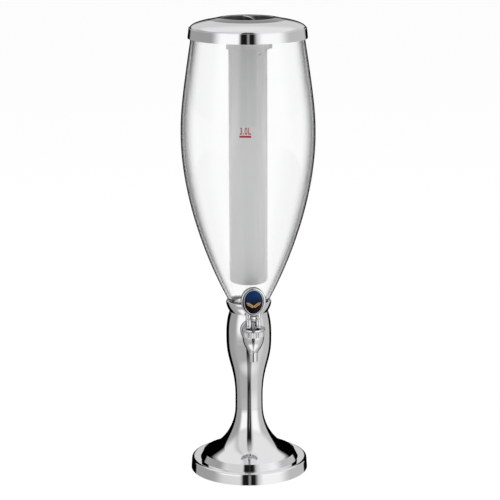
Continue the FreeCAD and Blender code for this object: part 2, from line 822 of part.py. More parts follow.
bezel_side = knob_rim_side + bezel_gap
bezel_end = knob_rim_end + bezel_gap


def make_tap_knob():
    solid = egg_plate(0, 0, knob_front, -knob_back)
    rims = [e for e in solid.Edges if e.BoundBox.YLength < 0.01]
    solid = solid.makeFillet(knob_round, rims)
    solid = solid.cut(egg_plate(knob_rim_side, knob_rim_end, knob_front, knob_floor))
    return solid.cut(make_lever_form()).cut(make_knob_screw())


def make_knob_bezel():
    outer = egg_plate(bezel_side, bezel_end, knob_front - bezel_drop, knob_floor)
    return outer.cut(egg_plate(bezel_side + bezel_width, bezel_end + bezel_width, knob_front,
                               knob_floor))


def make_knob_badge():
    plate = egg_plate(bezel_side + bezel_width, bezel_end + bezel_width, knob_front, knob_floor)
    span = knob_above + knob_below
    dome_radius = (span * span / 4 + badge_crown * badge_crown) / (2 * badge_crown)
    middle = knob_middle + (knob_above - knob_below) / 2
    crest = tap_y - knob_front - fit
    return plate.common(Part.makeSphere(dome_radius, Vector(0, crest + dome_radius, middle)))


# ---------------------------------------------------------------- ice tube
def round_ended(radius, rounding, bottom):
    """Closed-ended tube form up to the ice tube's top."""
    form = Outline(0, bottom).line((radius - rounding, bottom))
    form.curve((radius, bottom), (radius, bottom + rounding))
    return form.line((radius, tube_top), (0, tube_top)).turn()


def make_ice_tube():
    ring_radius = tube_radius + tube_ring_step
    solid = round_ended(tube_radius, tube_end_round, tube_bottom)
    solid = solid.fuse(disc(ring_radius, tube_ring_bottom, tube_top))
    lug = Part.makeBox(ring_radius + lug_reach, lug_width, lug_height,
                       Vector(0, -lug_width / 2, tube_ring_bottom))
    lug = lug.makeFillet(lug_round, [e for e in lug.Edges if e.CenterOfMass.x > ring_radius
                                     and e.BoundBox.XLength < 0.01])
    angle = math.radians(vent_angle)
    outwards = Vector(math.sin(angle), -math.cos(angle), 0)
    vent_centre = Vector(0, 0, tube_ring_bottom - vent_drop)
    vent = Part.makeCylinder(vent_radius, tube_radius + vent_step, vent_centre, outwards)
    dimple = Part.makeCylinder(0.66 * vent_radius, vent_step,
                               vent_centre + outwards * (tube_radius + vent_step / 6), outwards)
    solid = solid.fuse(lug).fuse(vent).cut(dimple)
    return solid.cut(round_ended(tube_bore, tube_end_round - tube_wall, tube_bottom + tube_wall))


# ---------------------------------------------------------------- lid
def make_lid_cover():
    side = skirt_outer - band_draft
    body = Outline(skirt_outer, skirt_bottom)
    body.line((side, band_top - rim_round))
    body.curve((side, band_top), (side - rim_round, band_top))
    body.line(dome[0]).curve(*dome[1:]).line(dome_inner[3])
    body.curve(dome_inner[2], dome_inner[1], dome_inner[0])
    solid = body.line((skirt_inner, skirt_bottom)).turn()
    solid = solid.cut(disc(grip_radius, liner_top, dome_top))
    boss_top = crossing(dome, 0, lid_screw_circle + boss_radius)[1] - boss_skin
    for x, y in around(lid_screw_count, lid_screw_circle, 45.0):
        solid = solid.fuse(disc(boss_radius, liner_top, boss_top, x, y))
        solid = solid.cut(disc(screw_radius, liner_top, liner_top + screw_bite, x, y))
    return solid


def bar_plan():
    """Plan of the finger bar: a gentle curve, narrow in the middle and flared at both ends."""
    reach = recess_radius + recess_round
    left = [(-0.25 * reach, reach), (0.09 * reach, 0.62 * reach), (0.13 * reach, 0.1 * reach),
            (0.24 * reach, -reach)]
    right = [(0.48 * reach, -reach), (0.32 * reach, -0.25 * reach), (0.27 * reach, 0.4 * reach),
             (0.25 * reach, reach)]
    edges = []
    for poles in (left, right):
        side = Part.BezierCurve()
        side.setPoles([Vector(x, y, 0) for x, y in poles])
        edges.append(side.toShape())
    for start, end in ((left[3], right[0]), (right[3], left[0])):
        edges.append(Part.LineSegment(Vector(*start, 0), Vector(*end, 0)).toShape())
    return Part.Face(Part.Wire(Part.__sortEdges__(edges)))


def make_lid_grip():
    floor_radius = recess_radius - recess_draft
    wall_radius = recess_radius + grip_wall
    edge = grip_radius - grip_gap
    lap_radius = grip_radius + grip_lap
    flange_top = crossing(dome_inner, 0, lap_radius)[1] - fit
    flange_low = flange_top - grip_flange
    body = Outline(0, liner_top)
    body.line((floor_radius + grip_wall, liner_top), (wall_radius, flange_low - grip_flange),
              (wall_radius + 2 * grip_flange, flange_low), (lap_radius, flange_low),
              (lap_radius, flange_top), (edge, flange_top), (edge, dome_top - rim_round))
    body.curve((edge, dome_top), (edge - rim_round, dome_top))
    body.curve((recess_radius + 0.54 * grip_width, dome_top + 0.75 * grip_rise),
               (recess_radius + 0.3 * grip_width, grip_top),
               (recess_radius + recess_round, grip_top))
    body.curve((recess_radius, grip_top), (recess_radius, grip_top - recess_round))
    body.line((floor_radius, recess_floor), (0, recess_floor))
    bar_top = grip_top - bar_drop
    bar = bar_plan().extrude(Vector(0, 0, bar_top - recess_floor + grip_wall / 2))
    bar.rotate(Vector(0, 0, 0), Vector(0, 0, 1), bar_turn)
    bar.translate(Vector(0, 0, recess_floor - grip_wall / 2))
    well = Part.makeCone(floor_radius + grip_wall / 4, recess_radius + grip_wall / 4,
                         bar_top - recess_floor + grip_wall / 2,
                         Vector(0, 0, recess_floor - grip_wall / 2))
    return body.turn().fuse(bar.common(well)).removeSplitter()


def make_lid_liner():
    rim_outer = dome_inner[0][0]
    rim_top = liner_seat + liner_plate
    inner = plug_radius - liner_plate
    plug_end = liner_under - plug_length
    body = Outline(0, liner_top)
    body.line((inner, liner_top), (inner, rim_top), (rim_outer, rim_top),
              (rim_outer, liner_seat), (plug_radius, liner_seat), (plug_radius, liner_under),
              (tube_plug, liner_under), (tube_plug, plug_end), (tube_plug - plug_wall, plug_end),
              (tube_plug - plug_wall, liner_under), (0, liner_under))
    groove_half = tube_ring_section + running
    groove = ring(tube_bore, tube_bore - 2 * groove_half, tube_o_ring_height - groove_half,
                  tube_o_ring_height + groove_half)
    solid = body.turn().cut(groove).cut(make_lid_seal())
    for x, y in around(lid_screw_count, lid_screw_circle, 45.0):
        solid = solid.cut(disc(screw_radius, liner_under, liner_top, x, y))
    return solid


def make_lid_seal():
    middle = mouth_radius - container_wall / 2
    return ring(middle + seal_width / 2, middle - seal_width / 2, rim_height,
                rim_height + seal_thickness)


def make_tube_o_ring():
    return Part.makeTorus(tube_bore - running - tube_ring_section, tube_ring_section,
                          Vector(0, 0, tube_o_ring_height))


def make_lid_screws():
    return [screw(x, y, liner_under, liner_top + screw_bite)
            for x, y in around(lid_screw_count, lid_screw_circle, 45.0)]


# ---------------------------------------------------------------- write every node
os.makedirs("parts", exist_ok=True)

save("base_disc", make_base_disc())
save("base_plate", make_base_plate())
save("base_weight", make_base_weight())
save("rubber_pads", *make_rubber_pads())
save("base_screws", *make_base_screws())
save("pedestal_foot", make_pedestal_foot())
save("foot_screws", *make_foot_screws())
save("joining_sleeve", make_joining_sleeve())
save("pedestal_column", make_pedestal_column())
save("pedestal_collar", make_pedestal_collar())
save("collar_screws", *make_collar_screws())
save("container", make_container())
save("container_gasket", make_container_gasket())
save("container_nut", make_container_nut())
save("outlet_block", make_outlet_block())
save("spigot_o_ring", make_spigot_o_ring())
save("shank_washer", make_shank_washer())
save("tap_escutcheon", make_tap_escutcheon())
save("tap_body", make_tap_body())
save("bonnet_gasket", make_bonnet_gasket())
save("tap_bonnet", make_tap_bonnet())
save("tap_stem", make_tap_stem())
save("tap_seat", make_tap_seat())
save("tap_spring", make_tap_spring())
save("tap_lever", make_tap_lever())
save("lever_pin", make_lever_pin())
save("tap_knob", make_tap_knob())
save("knob_bezel", make_knob_bezel())
save("knob_badge", make_knob_badge())
save("knob_screw", make_knob_screw())
save("ice_tube", make_ice_tube())
save("tube_o_ring", make_tube_o_ring())
save("lid_cover", make_lid_cover())
save("lid_grip", make_lid_grip())
save("lid_liner", make_lid_liner())
save("lid_seal", make_lid_seal())
save("lid_screws", *make_lid_screws())
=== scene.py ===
import json
import math

import bmesh
import bpy
from mathutils import Matrix, Vector
from mathutils.geometry import interpolate_bezier

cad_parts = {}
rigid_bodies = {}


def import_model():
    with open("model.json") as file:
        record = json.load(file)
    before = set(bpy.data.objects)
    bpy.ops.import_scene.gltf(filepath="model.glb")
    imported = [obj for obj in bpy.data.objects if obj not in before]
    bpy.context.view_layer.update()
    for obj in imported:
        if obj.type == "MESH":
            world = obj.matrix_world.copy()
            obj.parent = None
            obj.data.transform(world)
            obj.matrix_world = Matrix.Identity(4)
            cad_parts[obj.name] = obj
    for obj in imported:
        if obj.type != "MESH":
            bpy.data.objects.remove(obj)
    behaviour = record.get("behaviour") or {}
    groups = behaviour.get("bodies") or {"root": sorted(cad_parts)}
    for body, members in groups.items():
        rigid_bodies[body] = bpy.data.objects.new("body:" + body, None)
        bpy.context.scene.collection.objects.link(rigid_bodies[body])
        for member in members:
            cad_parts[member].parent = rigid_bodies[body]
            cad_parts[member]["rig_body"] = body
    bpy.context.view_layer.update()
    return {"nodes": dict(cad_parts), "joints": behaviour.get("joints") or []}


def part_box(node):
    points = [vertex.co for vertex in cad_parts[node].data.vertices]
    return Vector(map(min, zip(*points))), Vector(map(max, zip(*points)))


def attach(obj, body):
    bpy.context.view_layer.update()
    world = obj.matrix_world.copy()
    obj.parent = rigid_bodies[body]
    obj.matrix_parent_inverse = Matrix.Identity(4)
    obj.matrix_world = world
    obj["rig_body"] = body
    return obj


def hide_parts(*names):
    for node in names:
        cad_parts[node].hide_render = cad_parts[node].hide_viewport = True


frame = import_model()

# ------------ rubber pads
# Four soft anti-slip pads, stamped from black rubber sheet and glued into shallow pockets of
# the bottom cover. They are the only thing that touches the table.


def feed(socket, source):
    """Links a socket to another node's outlet, or sets its value."""
    if isinstance(source, bpy.types.NodeSocket):
        socket.id_data.links.new(source, socket)
    else:
        socket.default_value = source


def add_node(tree, kind, settings=None, **sources):
    """Adds a shader node with its settings, and feeds its sockets, which go by name."""
    node = tree.nodes.new("ShaderNode" + kind)
    for name, setting in (settings or {}).items():
        setattr(node, name, setting)
    for name, source in sources.items():
        feed(node.inputs[name.replace("_", " ")], source)
    return node


def look(name, colour, shade, grain, rough, relief, stretch=(1, 1, 1), **sockets):
    """A finish whose colour and roughness wander between two values, with a low relief.
    Grain is in spots per metre, relief in millimetres."""
    material = bpy.data.materials.new(name)
    material.use_nodes = True
    tree = material.node_tree
    place = add_node(tree, "TexCoord").outputs["Object"]
    place = add_node(tree, "Mapping", Scale=stretch, Vector=place).outputs["Vector"]
    noise = add_node(tree, "TexNoise", Scale=grain, Detail=4.0, Vector=place).outputs["Fac"]
    tint = add_node(tree, "Mix", {"name": "tint", "data_type": "RGBA"}, Factor=noise,
                    A=(*colour, 1.0), B=(*shade, 1.0))
    gloss = add_node(tree, "MapRange", Value=noise, From_Min=0.3, From_Max=0.7, To_Min=rough[0],
                     To_Max=rough[1])
    bump = add_node(tree, "Bump", Distance=relief / 1000, Height=noise)
    sockets |= {"Base_Color": tint.outputs["Result"], "Roughness": gloss.outputs["Result"],
                "Normal": bump.outputs["Normal"]}
    for socket, source in sockets.items():
        feed(tree.nodes["Principled BSDF"].inputs[socket.replace("_", " ")], source)
    return material


def span(node):
    """Lowest and highest corner of a node, in millimetres."""
    low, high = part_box(node)
    return low * 1000, high * 1000


def resize(form, factors, verts=None):
    """Scales a form, or some of its corners, from the origin."""
    bmesh.ops.scale(form, vec=factors, verts=verts or form.verts[:])


def placed(name, data):
    """Adds an object to the scene."""
    added = bpy.data.objects.new(name, data)
    bpy.context.scene.collection.objects.link(added)
    return added


def shown(name, form, *materials):
    """Makes a form drawn in millimetres a smooth object in metres."""
    resize(form, (0.001, 0.001, 0.001))
    mesh = bpy.data.meshes.new(name)
    form.to_mesh(mesh)
    form.free()
    mesh.shade_smooth()
    mesh.set_sharp_from_angle(angle=math.radians(32))
    for material in materials:
        mesh.materials.append(material)
    return placed(name, mesh)


def stand_in(node, name, form, *materials):
    """Shows a form in a node's place, on the same body."""
    piece = shown(name, form, *materials)
    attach(piece, frame["nodes"][node]["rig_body"])
    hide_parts(node)


def merged(node):
    """A closed copy of a node's mesh, in millimetres."""
    form = bmesh.new()
    form.from_mesh(frame["nodes"][node].data)
    bmesh.ops.remove_doubles(form, verts=form.verts[:], dist=1e-7)
    resize(form, (1000, 1000, 1000))
    return form


def smooth_copy(node, name, material):
    stand_in(node, name, merged(node), material)


def dress(node, material):
    frame["nodes"][node].data.materials.clear()
    frame["nodes"][node].data.materials.append(material)


black_rubber = look("black_rubber", (0.018, 0.018, 0.018), (0.03, 0.029, 0.028), 2600,
                    (0.75, 0.95), 0.05)
smooth_copy("rubber_pads", "anti_slip_pads", black_rubber)

# ------------ bottom cover
# Flat disc of finely textured black plastic that closes the base shell from below. Four
# countersunk steel screws hold it.
textured_plastic = look("textured_black_plastic", (0.016, 0.016, 0.018), (0.026, 0.026, 0.028),
                        1800, (0.42, 0.6), 0.04)
smooth_copy("base_plate", "bottom_cover", textured_plastic)

bright_steel = look("bright_steel", (0.60, 0.60, 0.61), (0.50, 0.50, 0.52), 900, (0.2, 0.36),
                    0.006, Metallic=1.0, stretch=(1, 1, 8))
smooth_copy("base_screws", "cover_screws", bright_steel)

# ------------ ballast
# Ring of cast iron inside the base that keeps a full tower from tipping. It lies loose in
# the shell, is painted black as cast, and never shows.
painted_iron = look("painted_iron", (0.02, 0.02, 0.022), (0.05, 0.045, 0.042), 450, (0.5, 0.8),
                    0.4)
dress("base_weight", painted_iron)

# ------------ base shell
# Round shell moulded in plastic and plated with chrome: a nearly upright rim, a rounded
# shoulder and a top that falls gently to the seat of the pedestal's foot.


class Outline:
    """A closed outline of (radius, height) points in millimetres, turned on a lathe."""

    hold = 0.25     # a straight run keeps its shading flat up to this far from its ends

    def __init__(self, radius, height):
        self.points = [Vector((radius, height))]

    def line(self, *ends):
        for end in ends:
            start = self.points[-1]
            run = Vector(end) - start
            if run.length > 4 * self.hold:
                self.points.append(start + run.normalized() * self.hold)
                self.points.append(start + run - run.normalized() * self.hold)
            self.points.append(start + run)
        return self

    def curve(self, *poles, steps=10):
        """Bezier curve from the last point: one pole and an end, or two poles and an end."""
        start = self.points[-1]
        end = Vector(poles[-1])
        if len(poles) == 2:
            middle = Vector(poles[0])
            handles = start.lerp(middle, 2 / 3), end.lerp(middle, 2 / 3)
        else:
            handles = Vector(poles[0]), Vector(poles[1])
        self.points += interpolate_bezier(start, *handles, end, steps + 1)[1:]
        return self

    def turn(self, steps=192):
        form = bmesh.new()
        corners = [form.verts.new((point.x, 0, point.y)) for point in self.points]
        for a, b in zip(corners, corners[1:] + corners[:1]):
            if a.co.x > 0 or b.co.x > 0:
                form.edges.new((a, b))
        bmesh.ops.spin(form, geom=form.verts[:] + form.edges[:], cent=(0, 0, 0), axis=(0, 0, 1),
                       angle=math.tau, steps=steps, use_merge=True)
        bmesh.ops.remove_doubles(form, verts=form.verts[:], dist=0.0005)
        bmesh.ops.recalc_face_normals(form, faces=form.faces[:])
        return form


shell_wall = 2.5
base_draft = 0.8
base_shoulder = 3.6
base_bore = 22.0
seat_margin = 0.3           # the flat seat reaches this far past the foot
base_low, base_high = span("base_disc")
foot_low, foot_high = span("pedestal_foot")
base_radius = base_high.x
skirt_radius = foot_high.x
skirt_seat = foot_low.z
base_side = base_radius - base_draft

chrome = look("chrome_plating", (0.91, 0.91, 0.915), (0.87, 0.875, 0.885), 22, (0.02, 0.05),
              0.01, Metallic=1.0)

base_outline = Outline(base_radius, base_low.z)
base_outline.line((base_side, base_high.z - base_shoulder))
base_outline.curve((base_side, base_high.z), (base_side - base_shoulder, base_high.z))
base_outline.line((skirt_radius + seat_margin, skirt_seat), (base_bore, skirt_seat),
                  (base_bore, skirt_seat - shell_wall),
                  (base_side - shell_wall, skirt_seat - shell_wall),
                  (base_radius - shell_wall, base_low.z))
stand_in("base_disc", "base_shell", base_outline.turn(256), chrome)

# ------------ pedestal foot
# Trumpet-shaped plated moulding with a slanted skirt and a sharp ridge above it. Three
# screws come up from inside the base into its bosses.
skirt_lean = 4.2
skirt_height = 8.8
flare_toe_lean = -78.0      # lean of the flare at the ridge and at the seam
flare_top_lean = 178.6
seam_radius = 18.8
seam_break = 0.4            # tiny chamfer on the piece above a seam


def leaning(start, lean, reach):
    """Point at a distance from start, along a line leaning outwards by lean degrees."""
    angle = math.radians(lean)
    return start[0] + reach * math.sin(angle), start[1] + reach * math.cos(angle)


def inside(poles, wall):
    """The same upward curve, one wall nearer the axis."""
    moved = []
    for pair in (poles[:2], poles[-2:]):
        run = pair[1][0] - pair[0][0]
        rise = pair[1][1] - pair[0][1]
        scale = wall / math.hypot(run, rise)
        moved += [(r - rise * scale, z + run * scale) for r, z in pair]
    return moved


seam_height = foot_high.z
ridge = (skirt_radius - skirt_lean, skirt_seat + skirt_height)
flare_height = seam_height - ridge[1]
seam = (seam_radius, seam_height)
flare = [ridge, leaning(ridge, flare_toe_lean, 0.276 * flare_height),
         leaning(seam, flare_top_lean, 0.575 * flare_height), seam]
flare_inside = inside(flare, shell_wall)

foot_outline = Outline(skirt_radius, skirt_seat).line(ridge)
foot_outline.curve(*flare[1:], steps=56)
foot_outline.line((seam_radius - seam_break, seam_height),
                  (seam_radius - 2 * shell_wall, seam_height))
foot_outline.line(flare_inside[3]).curve(*flare_inside[2::-1], steps=24)
foot_outline.line((skirt_radius - 2 * shell_wall, skirt_seat))
stand_in("pedestal_foot", "trumpet_foot", foot_outline.turn(256), chrome)

smooth_copy("foot_screws", "foot_fixing_screws", bright_steel)

# ------------ joining sleeve
# Plain tube of black plastic inside foot and column. It lies across the seam between them and
# keeps them in line.
dress("joining_sleeve", textured_plastic)

# ------------ pedestal column
# Plated moulding that rises from a slim waist to a pear-shaped swelling and draws in again
# under the collar. The tap's shank passes through its front.
waist_radius = 18.7
waist_rise = 14.9
swell_rise = 82.8
shoulder_lean = 159.0
groove_radius = 26.1
column_rim = 8.5            # width of the flat top
column_high = span("pedestal_column")[1]
swell_radius = column_high.x
groove_height = column_high.z
waist_height = seam_height + waist_rise
swell_height = waist_height + swell_rise
groove_rise = groove_height - swell_height
groove = (groove_radius, groove_height)

waist = [seam, ((seam_radius + waist_radius) / 2, seam_height + 0.3 * waist_rise),
         (waist_radius, waist_height - 0.3 * waist_rise), (waist_radius, waist_height)]
swell = [waist[3], (waist_radius, waist_height + 0.505 * swell_rise),
         (swell_radius, swell_height - 0.395 * swell_rise), (swell_radius, swell_height)]
shoulder = [swell[3], (swell_radius, swell_height + 0.1 * groove_rise),
            leaning(groove, shoulder_lean, 0.4 * groove_rise), groove]

column_outline = Outline(seam_radius - 2 * shell_wall, seam_height)
column_outline.line((seam_radius - seam_break, seam_height),
                    (seam_radius, seam_height + seam_break))
column_outline.curve(*waist[1:], steps=10)
column_outline.curve(*swell[1:], steps=60)
column_outline.curve(*shoulder[1:], steps=30)
column_outline.line((groove_radius - column_rim, groove_height))
column_outline.curve(*inside(shoulder, shell_wall)[2::-1], steps=12)
column_outline.curve(*inside(swell, shell_wall)[2::-1], steps=24)
stand_in("pedestal_column", "pear_column", column_outline.turn(256), chrome)

# ------------ collar
# Plated cup that the container stands in, with a rolled bright lip. Three countersunk
# screws hold it down on the column.
collar_floor = 3.0
cup_floor_radius = 23.8
lip_wall = 2.3
spigot_hole = 12.2
collar_high = span("pedestal_collar")[1]
lip_radius = collar_high.x
lip_top = collar_high.z
collar_height = lip_top - groove_height
cup_floor = groove_height + collar_floor
cup_radius = lip_radius - lip_wall
widening = lip_radius - groove_radius
lip_start = groove_height + 0.82 * collar_height

collar_outline = Outline(groove_radius - seam_break, groove_height)
collar_outline.line((groove_radius, groove_height + seam_break))
collar_outline.curve((groove_radius + 0.54 * widening, groove_height + 0.30 * collar_height),
                     (lip_radius - 0.11 * widening, groove_height + 0.52 * collar_height),
                     (lip_radius, lip_start), steps=20)
collar_outline.curve((lip_radius, lip_top), (lip_radius - lip_wall / 2, lip_top))
collar_outline.curve((cup_radius, lip_top), (cup_radius, lip_start))
collar_outline.curve((cup_radius, cup_floor + 0.36 * collar_height),
                     (cup_floor_radius + 0.5 * widening, cup_floor + 0.14 * collar_height),
                     (cup_floor_radius, cup_floor), steps=16)
collar_outline.line((spigot_hole, cup_floor), (spigot_hole, groove_height))
stand_in("pedestal_collar", "cup_collar", collar_outline.turn(256), chrome)

smooth_copy("collar_screws", "collar_fixing_screws", bright_steel)

# ------------ container
# Tulip-shaped vessel of clear acrylic with a 4 mm wall, a rounded rim and a threaded
# spigot at its bottom.
container_wall = 4.0
foot_rise = 4.5
foot_lean = 29.1
seat_inset = 4.3
belly_rise = 232.6
rim_round = 0.5
mouth_radius = 74.3
mouth_lean = 8.9
spigot_wall = 3.0
spigot_round = 2.0
nut_wall = 5.9
container_low, container_high = span("container")
belly_radius = container_high.x
rim_height = container_high.z
spigot_end = container_low.z
seat_height = span("container_gasket")[1].z
bottle_foot = (cup_floor_radius, seat_height + foot_rise)
belly_height = bottle_foot[1] + belly_rise
mouth_rise = rim_height - belly_height
spigot_radius = span("container_nut")[1].x - nut_wall
spigot_bore = spigot_radius - spigot_wall
mouth = (mouth_radius, rim_height)

lower_wall = [bottle_foot, leaning(bottle_foot, foot_lean, 0.315 * belly_rise),
              (belly_radius, belly_height - 0.332 * belly_rise), (belly_radius, belly_height)]
upper_wall = [lower_wall[3], (belly_radius, belly_height + 0.184 * mouth_rise),
              leaning(mouth, 180 - mouth_lean, 0.72 * mouth_rise), mouth]
toe = leaning(bottle_foot, foot_lean, -foot_rise / math.cos(math.radians(foot_lean)))
lower_inside = inside(lower_wall, container_wall)
upper_inside = inside(upper_wall, container_wall)
rim_inner = mouth_radius - container_wall
vessel_floor = seat_height + container_wall
seat_radius = cup_floor_radius - seat_inset

clear_acrylic = look("clear_acrylic", (0.995, 0.997, 0.997), (0.985, 0.99, 0.99), 9,
                     (0.0, 0.015), 0.02, IOR=1.49, Transmission_Weight=1.0)
# Painted shade: the wall's colour fades to near black where it is seen edge on, in place of the
# dark surroundings that the glass would show at its edges.
painted_edge_shade = (0.004, 0.004, 0.004)
edge_from, edge_full = 0.42, 0.85   # the wall darkens where it is seen edge on


def fade_into(material, colour, value, start, end):
    """Fades a finish into a plain colour while a value goes from start to end."""
    tree = material.node_tree
    share = add_node(tree, "MapRange", {"interpolation_type": "SMOOTHSTEP"}, Value=value,
                     From_Min=start, From_Max=end)
    mix = add_node(tree, "Mix", {"data_type": "RGBA"}, Factor=share.outputs["Result"],
                   A=tree.nodes["tint"].outputs["Result"], B=(*colour, 1.0))
    feed(tree.nodes["Principled BSDF"].inputs["Base Color"], mix.outputs["Result"])


slant = add_node(clear_acrylic.node_tree, "LayerWeight", Blend=0.5)
fade_into(clear_acrylic, painted_edge_shade, slant.outputs["Facing"], edge_from, edge_full)

vessel = Outline(spigot_bore, spigot_end)
vessel.line((spigot_radius, spigot_end), (spigot_radius, seat_height),
            (seat_radius, seat_height))
vessel.curve(toe, bottle_foot)
vessel.curve(*lower_wall[1:], steps=60)
vessel.curve(*upper_wall[1:3], (mouth_radius, rim_height - rim_round), steps=36)
vessel.curve((mouth_radius, rim_height), (mouth_radius - rim_round, rim_height), steps=5)
vessel.line((rim_inner + rim_round, rim_height))
vessel.curve((rim_inner, rim_height), (rim_inner, rim_height - rim_round), steps=5)
vessel.curve(*upper_inside[2::-1], steps=36)
vessel.curve(*lower_inside[2::-1], steps=60)
vessel.curve((seat_radius, vessel_floor), (spigot_bore + spigot_round, vessel_floor))
vessel.curve((spigot_bore, vessel_floor), (spigot_bore, vessel_floor - spigot_round), steps=6)
stand_in("container", "clear_container", vessel.turn(256), clear_acrylic)

# ------------ capacity mark
# Plain capacity mark, screen-printed in red ink on the front of the container: digits over
# a short level bar.
mark_height = 477.6
mark_azimuth = -8.8
mark_bar = (15.3, 2.6)
mark_digits = 9.0           # height of the digits
mark_gap = 1.6              # digits above the bar
font_share = 1.37           # size of the font over the height of its digits
digit_width = 0.62          # share of the font's own width
ink = 0.06                  # the print stands proud by this much

red_ink = look("red_ink", (0.26, 0.004, 0.008), (0.30, 0.008, 0.012), 1500, (0.5, 0.7), 0.004)


def shift(form, place, verts=None):
    """Moves a form, or some of its corners."""
    bmesh.ops.translate(form, vec=place, verts=verts or form.verts[:])


digits = bpy.data.curves.new("digits", "FONT")
digits.body = "3.0L"
digits.align_x = "CENTER"
digits.size = mark_digits * font_share
digits.space_character = 1.12
digits.offset = 0.22        # bolder strokes
words = placed("words", digits)
bpy.context.view_layer.update()
mark = bmesh.new()
mark.from_mesh(words.evaluated_get(bpy.context.evaluated_depsgraph_get()).to_mesh())
bpy.data.objects.remove(words)
resize(mark, (digit_width, 1, 1))
shift(mark, (0, mark_bar[1] / 2 + mark_gap, 0))
bar = bmesh.ops.create_grid(mark, x_segments=12, y_segments=1, size=0.5)["verts"]
resize(mark, (*mark_bar, 1), bar)
bmesh.ops.triangulate(mark, faces=mark.faces[:])
bmesh.ops.subdivide_edges(mark, edges=mark.edges[:], cuts=1, use_grid_fill=True)
upper_side = Outline(*upper_wall[0]).curve(*upper_wall[1:], steps=200).points
for vert in mark.verts:
    height = mark_height + vert.co.y
    radius = min(upper_side, key=lambda point: abs(point.y - height)).x + ink
    angle = math.radians(mark_azimuth) + vert.co.x / radius
    vert.co = (radius * math.sin(angle), -radius * math.cos(angle), height)
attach(shown("capacity_mark", mark, red_ink), "stand")

# ------------ seals and ring nut
# A soft silicone ring beds the container on the collar, and a white nut on the spigot's
# thread pulls it down from below.
silicone = look("silicone", (0.78, 0.78, 0.75), (0.70, 0.70, 0.67), 500, (0.35, 0.5), 0.01,
                Transmission_Weight=0.35, Subsurface_Weight=0.2)
white_moulding = look("white_moulding", (0.80, 0.80, 0.79), (0.76, 0.76, 0.75), 300,
                      (0.24, 0.34), 0.008, Coat_Weight=0.15)
smooth_copy("container_gasket", "container_bed_ring", silicone)
smooth_copy("container_nut", "spigot_ring_nut", white_moulding)

# ------------ outlet block
# White elbow block inside the column. The spigot plugs into it with an O-ring, and the
# tap's shank screws into its front over a washer.
smooth_copy("outlet_block", "outlet_elbow", white_moulding)
smooth_copy("spigot_o_ring", "spigot_seal", silicone)
smooth_copy("shank_washer", "shank_seal", silicone)

# ------------ escutcheon
# Round plate of plated brass with a rolled edge. The tap's shank holds it against the front
# of the column.
escutcheon_round = 1.4
shank_collar = 9.0
plate_depth = 7.0
plate_low, plate_high = span("tap_escutcheon")
shank_height = (plate_low.z + plate_high.z) / 2
plate_radius = plate_high.x
plate_face = -plate_low.y
plate_back = plate_face - plate_depth


def rotate(form, degrees, axis, verts=None):
    """Turns a form, or some of its corners, about an axis through the origin."""
    bmesh.ops.rotate(form, cent=(0, 0, 0), verts=verts or form.verts[:],
                     matrix=Matrix.Rotation(math.radians(degrees), 3, axis))


def lay_forward(form):
    """Turns a form from the upright axis to the shank's, which points at the drinker."""
    rotate(form, 90, "X")
    shift(form, (0, 0, shank_height))
    return form


tap_chrome = look("tap_plating", (0.92, 0.92, 0.925), (0.88, 0.885, 0.895), 60, (0.02, 0.06),
                  0.01, Metallic=1.0, Specular_Tint=(0.3, 0.3, 0.31, 1.0))

plate = Outline(plate_radius, plate_back).line((plate_radius, plate_face - escutcheon_round))
plate.curve((plate_radius, plate_face), (plate_radius - escutcheon_round, plate_face))
plate.line((shank_collar, plate_face), (shank_collar, plate_back))
stand_in("tap_escutcheon", "escutcheon_plate", lay_forward(plate.turn(128)), tap_chrome)

# ------------ tap body
# Turned and plated brass: a shank, a bowl that holds the valve, a ring with fine upright
# flutes and a slim spout with a bead.
bowl_radius = 14.4
ring_step = 0.3
ring_height = 8.4
spout_radius = 5.7
spout_bore = 4.2
spout_length = 11.2
bead_height = 1.8
bead_step = 0.9
chamber_radius = 11.4
chamber_cone = 12.0         # height of the cone that leads down to the spout
cone_foot = 1.0             # its foot is this much wider than the spout's bore
floor_wall = 4.4
neck_radius = 6.4
flute_count = 36
flute_depth = 0.45
flute_margin = 0.6
facets_per_flute = 8
ring_draft = 0.01
tap_low, tap_high = span("tap_body")
pivot = next(joint["pos_m"] for joint in frame["joints"] if joint["name"] == "lever_tilt")
tap_y = pivot[1] * 1000
ring_top = span("bonnet_gasket")[0].z
ring_bottom = ring_top - ring_height
spout_end = tap_low.z
bead_bottom = spout_end + spout_length
bead_top = bead_bottom + bead_height
bead_radius = spout_radius + bead_step
bowl_depth = ring_bottom - bead_top
chamber_floor = bead_top + floor_wall
ring_radius = bowl_radius + ring_step


def join(form, other):
    """Adds a second form to the first."""
    spare = bpy.data.meshes.new("spare")
    other.to_mesh(spare)
    other.free()
    form.from_mesh(spare)
    bpy.data.meshes.remove(spare)


bowl = Outline(spout_bore, spout_end)
bowl.line((spout_radius - rim_round, spout_end))
bowl.curve((spout_radius, spout_end), (spout_radius, spout_end + rim_round), steps=5)
bowl.line((spout_radius, bead_bottom))
bowl.curve((bead_radius, bead_bottom), (bead_radius, (bead_bottom + bead_top) / 2), steps=6)
bowl.curve((bead_radius, bead_top), (spout_radius + bead_step / 3, bead_top), steps=6)
bowl.curve((0.555 * bowl_radius, bead_top + 0.135 * bowl_depth),
           (0.945 * bowl_radius, bead_top + 0.43 * bowl_depth),
           (bowl_radius, ring_bottom - 0.09 * bowl_depth), steps=24)
bowl.line((bowl_radius, ring_bottom), (ring_radius, ring_bottom),
          (ring_radius, ring_bottom + flute_margin),
          (ring_radius - ring_draft, ring_top - flute_margin), (ring_radius, ring_top),
          (chamber_radius, ring_top), (chamber_radius, chamber_floor + chamber_cone),
          (spout_bore + cone_foot, chamber_floor), (spout_bore, chamber_floor))
tap_form = bowl.turn(flute_count * facets_per_flute)
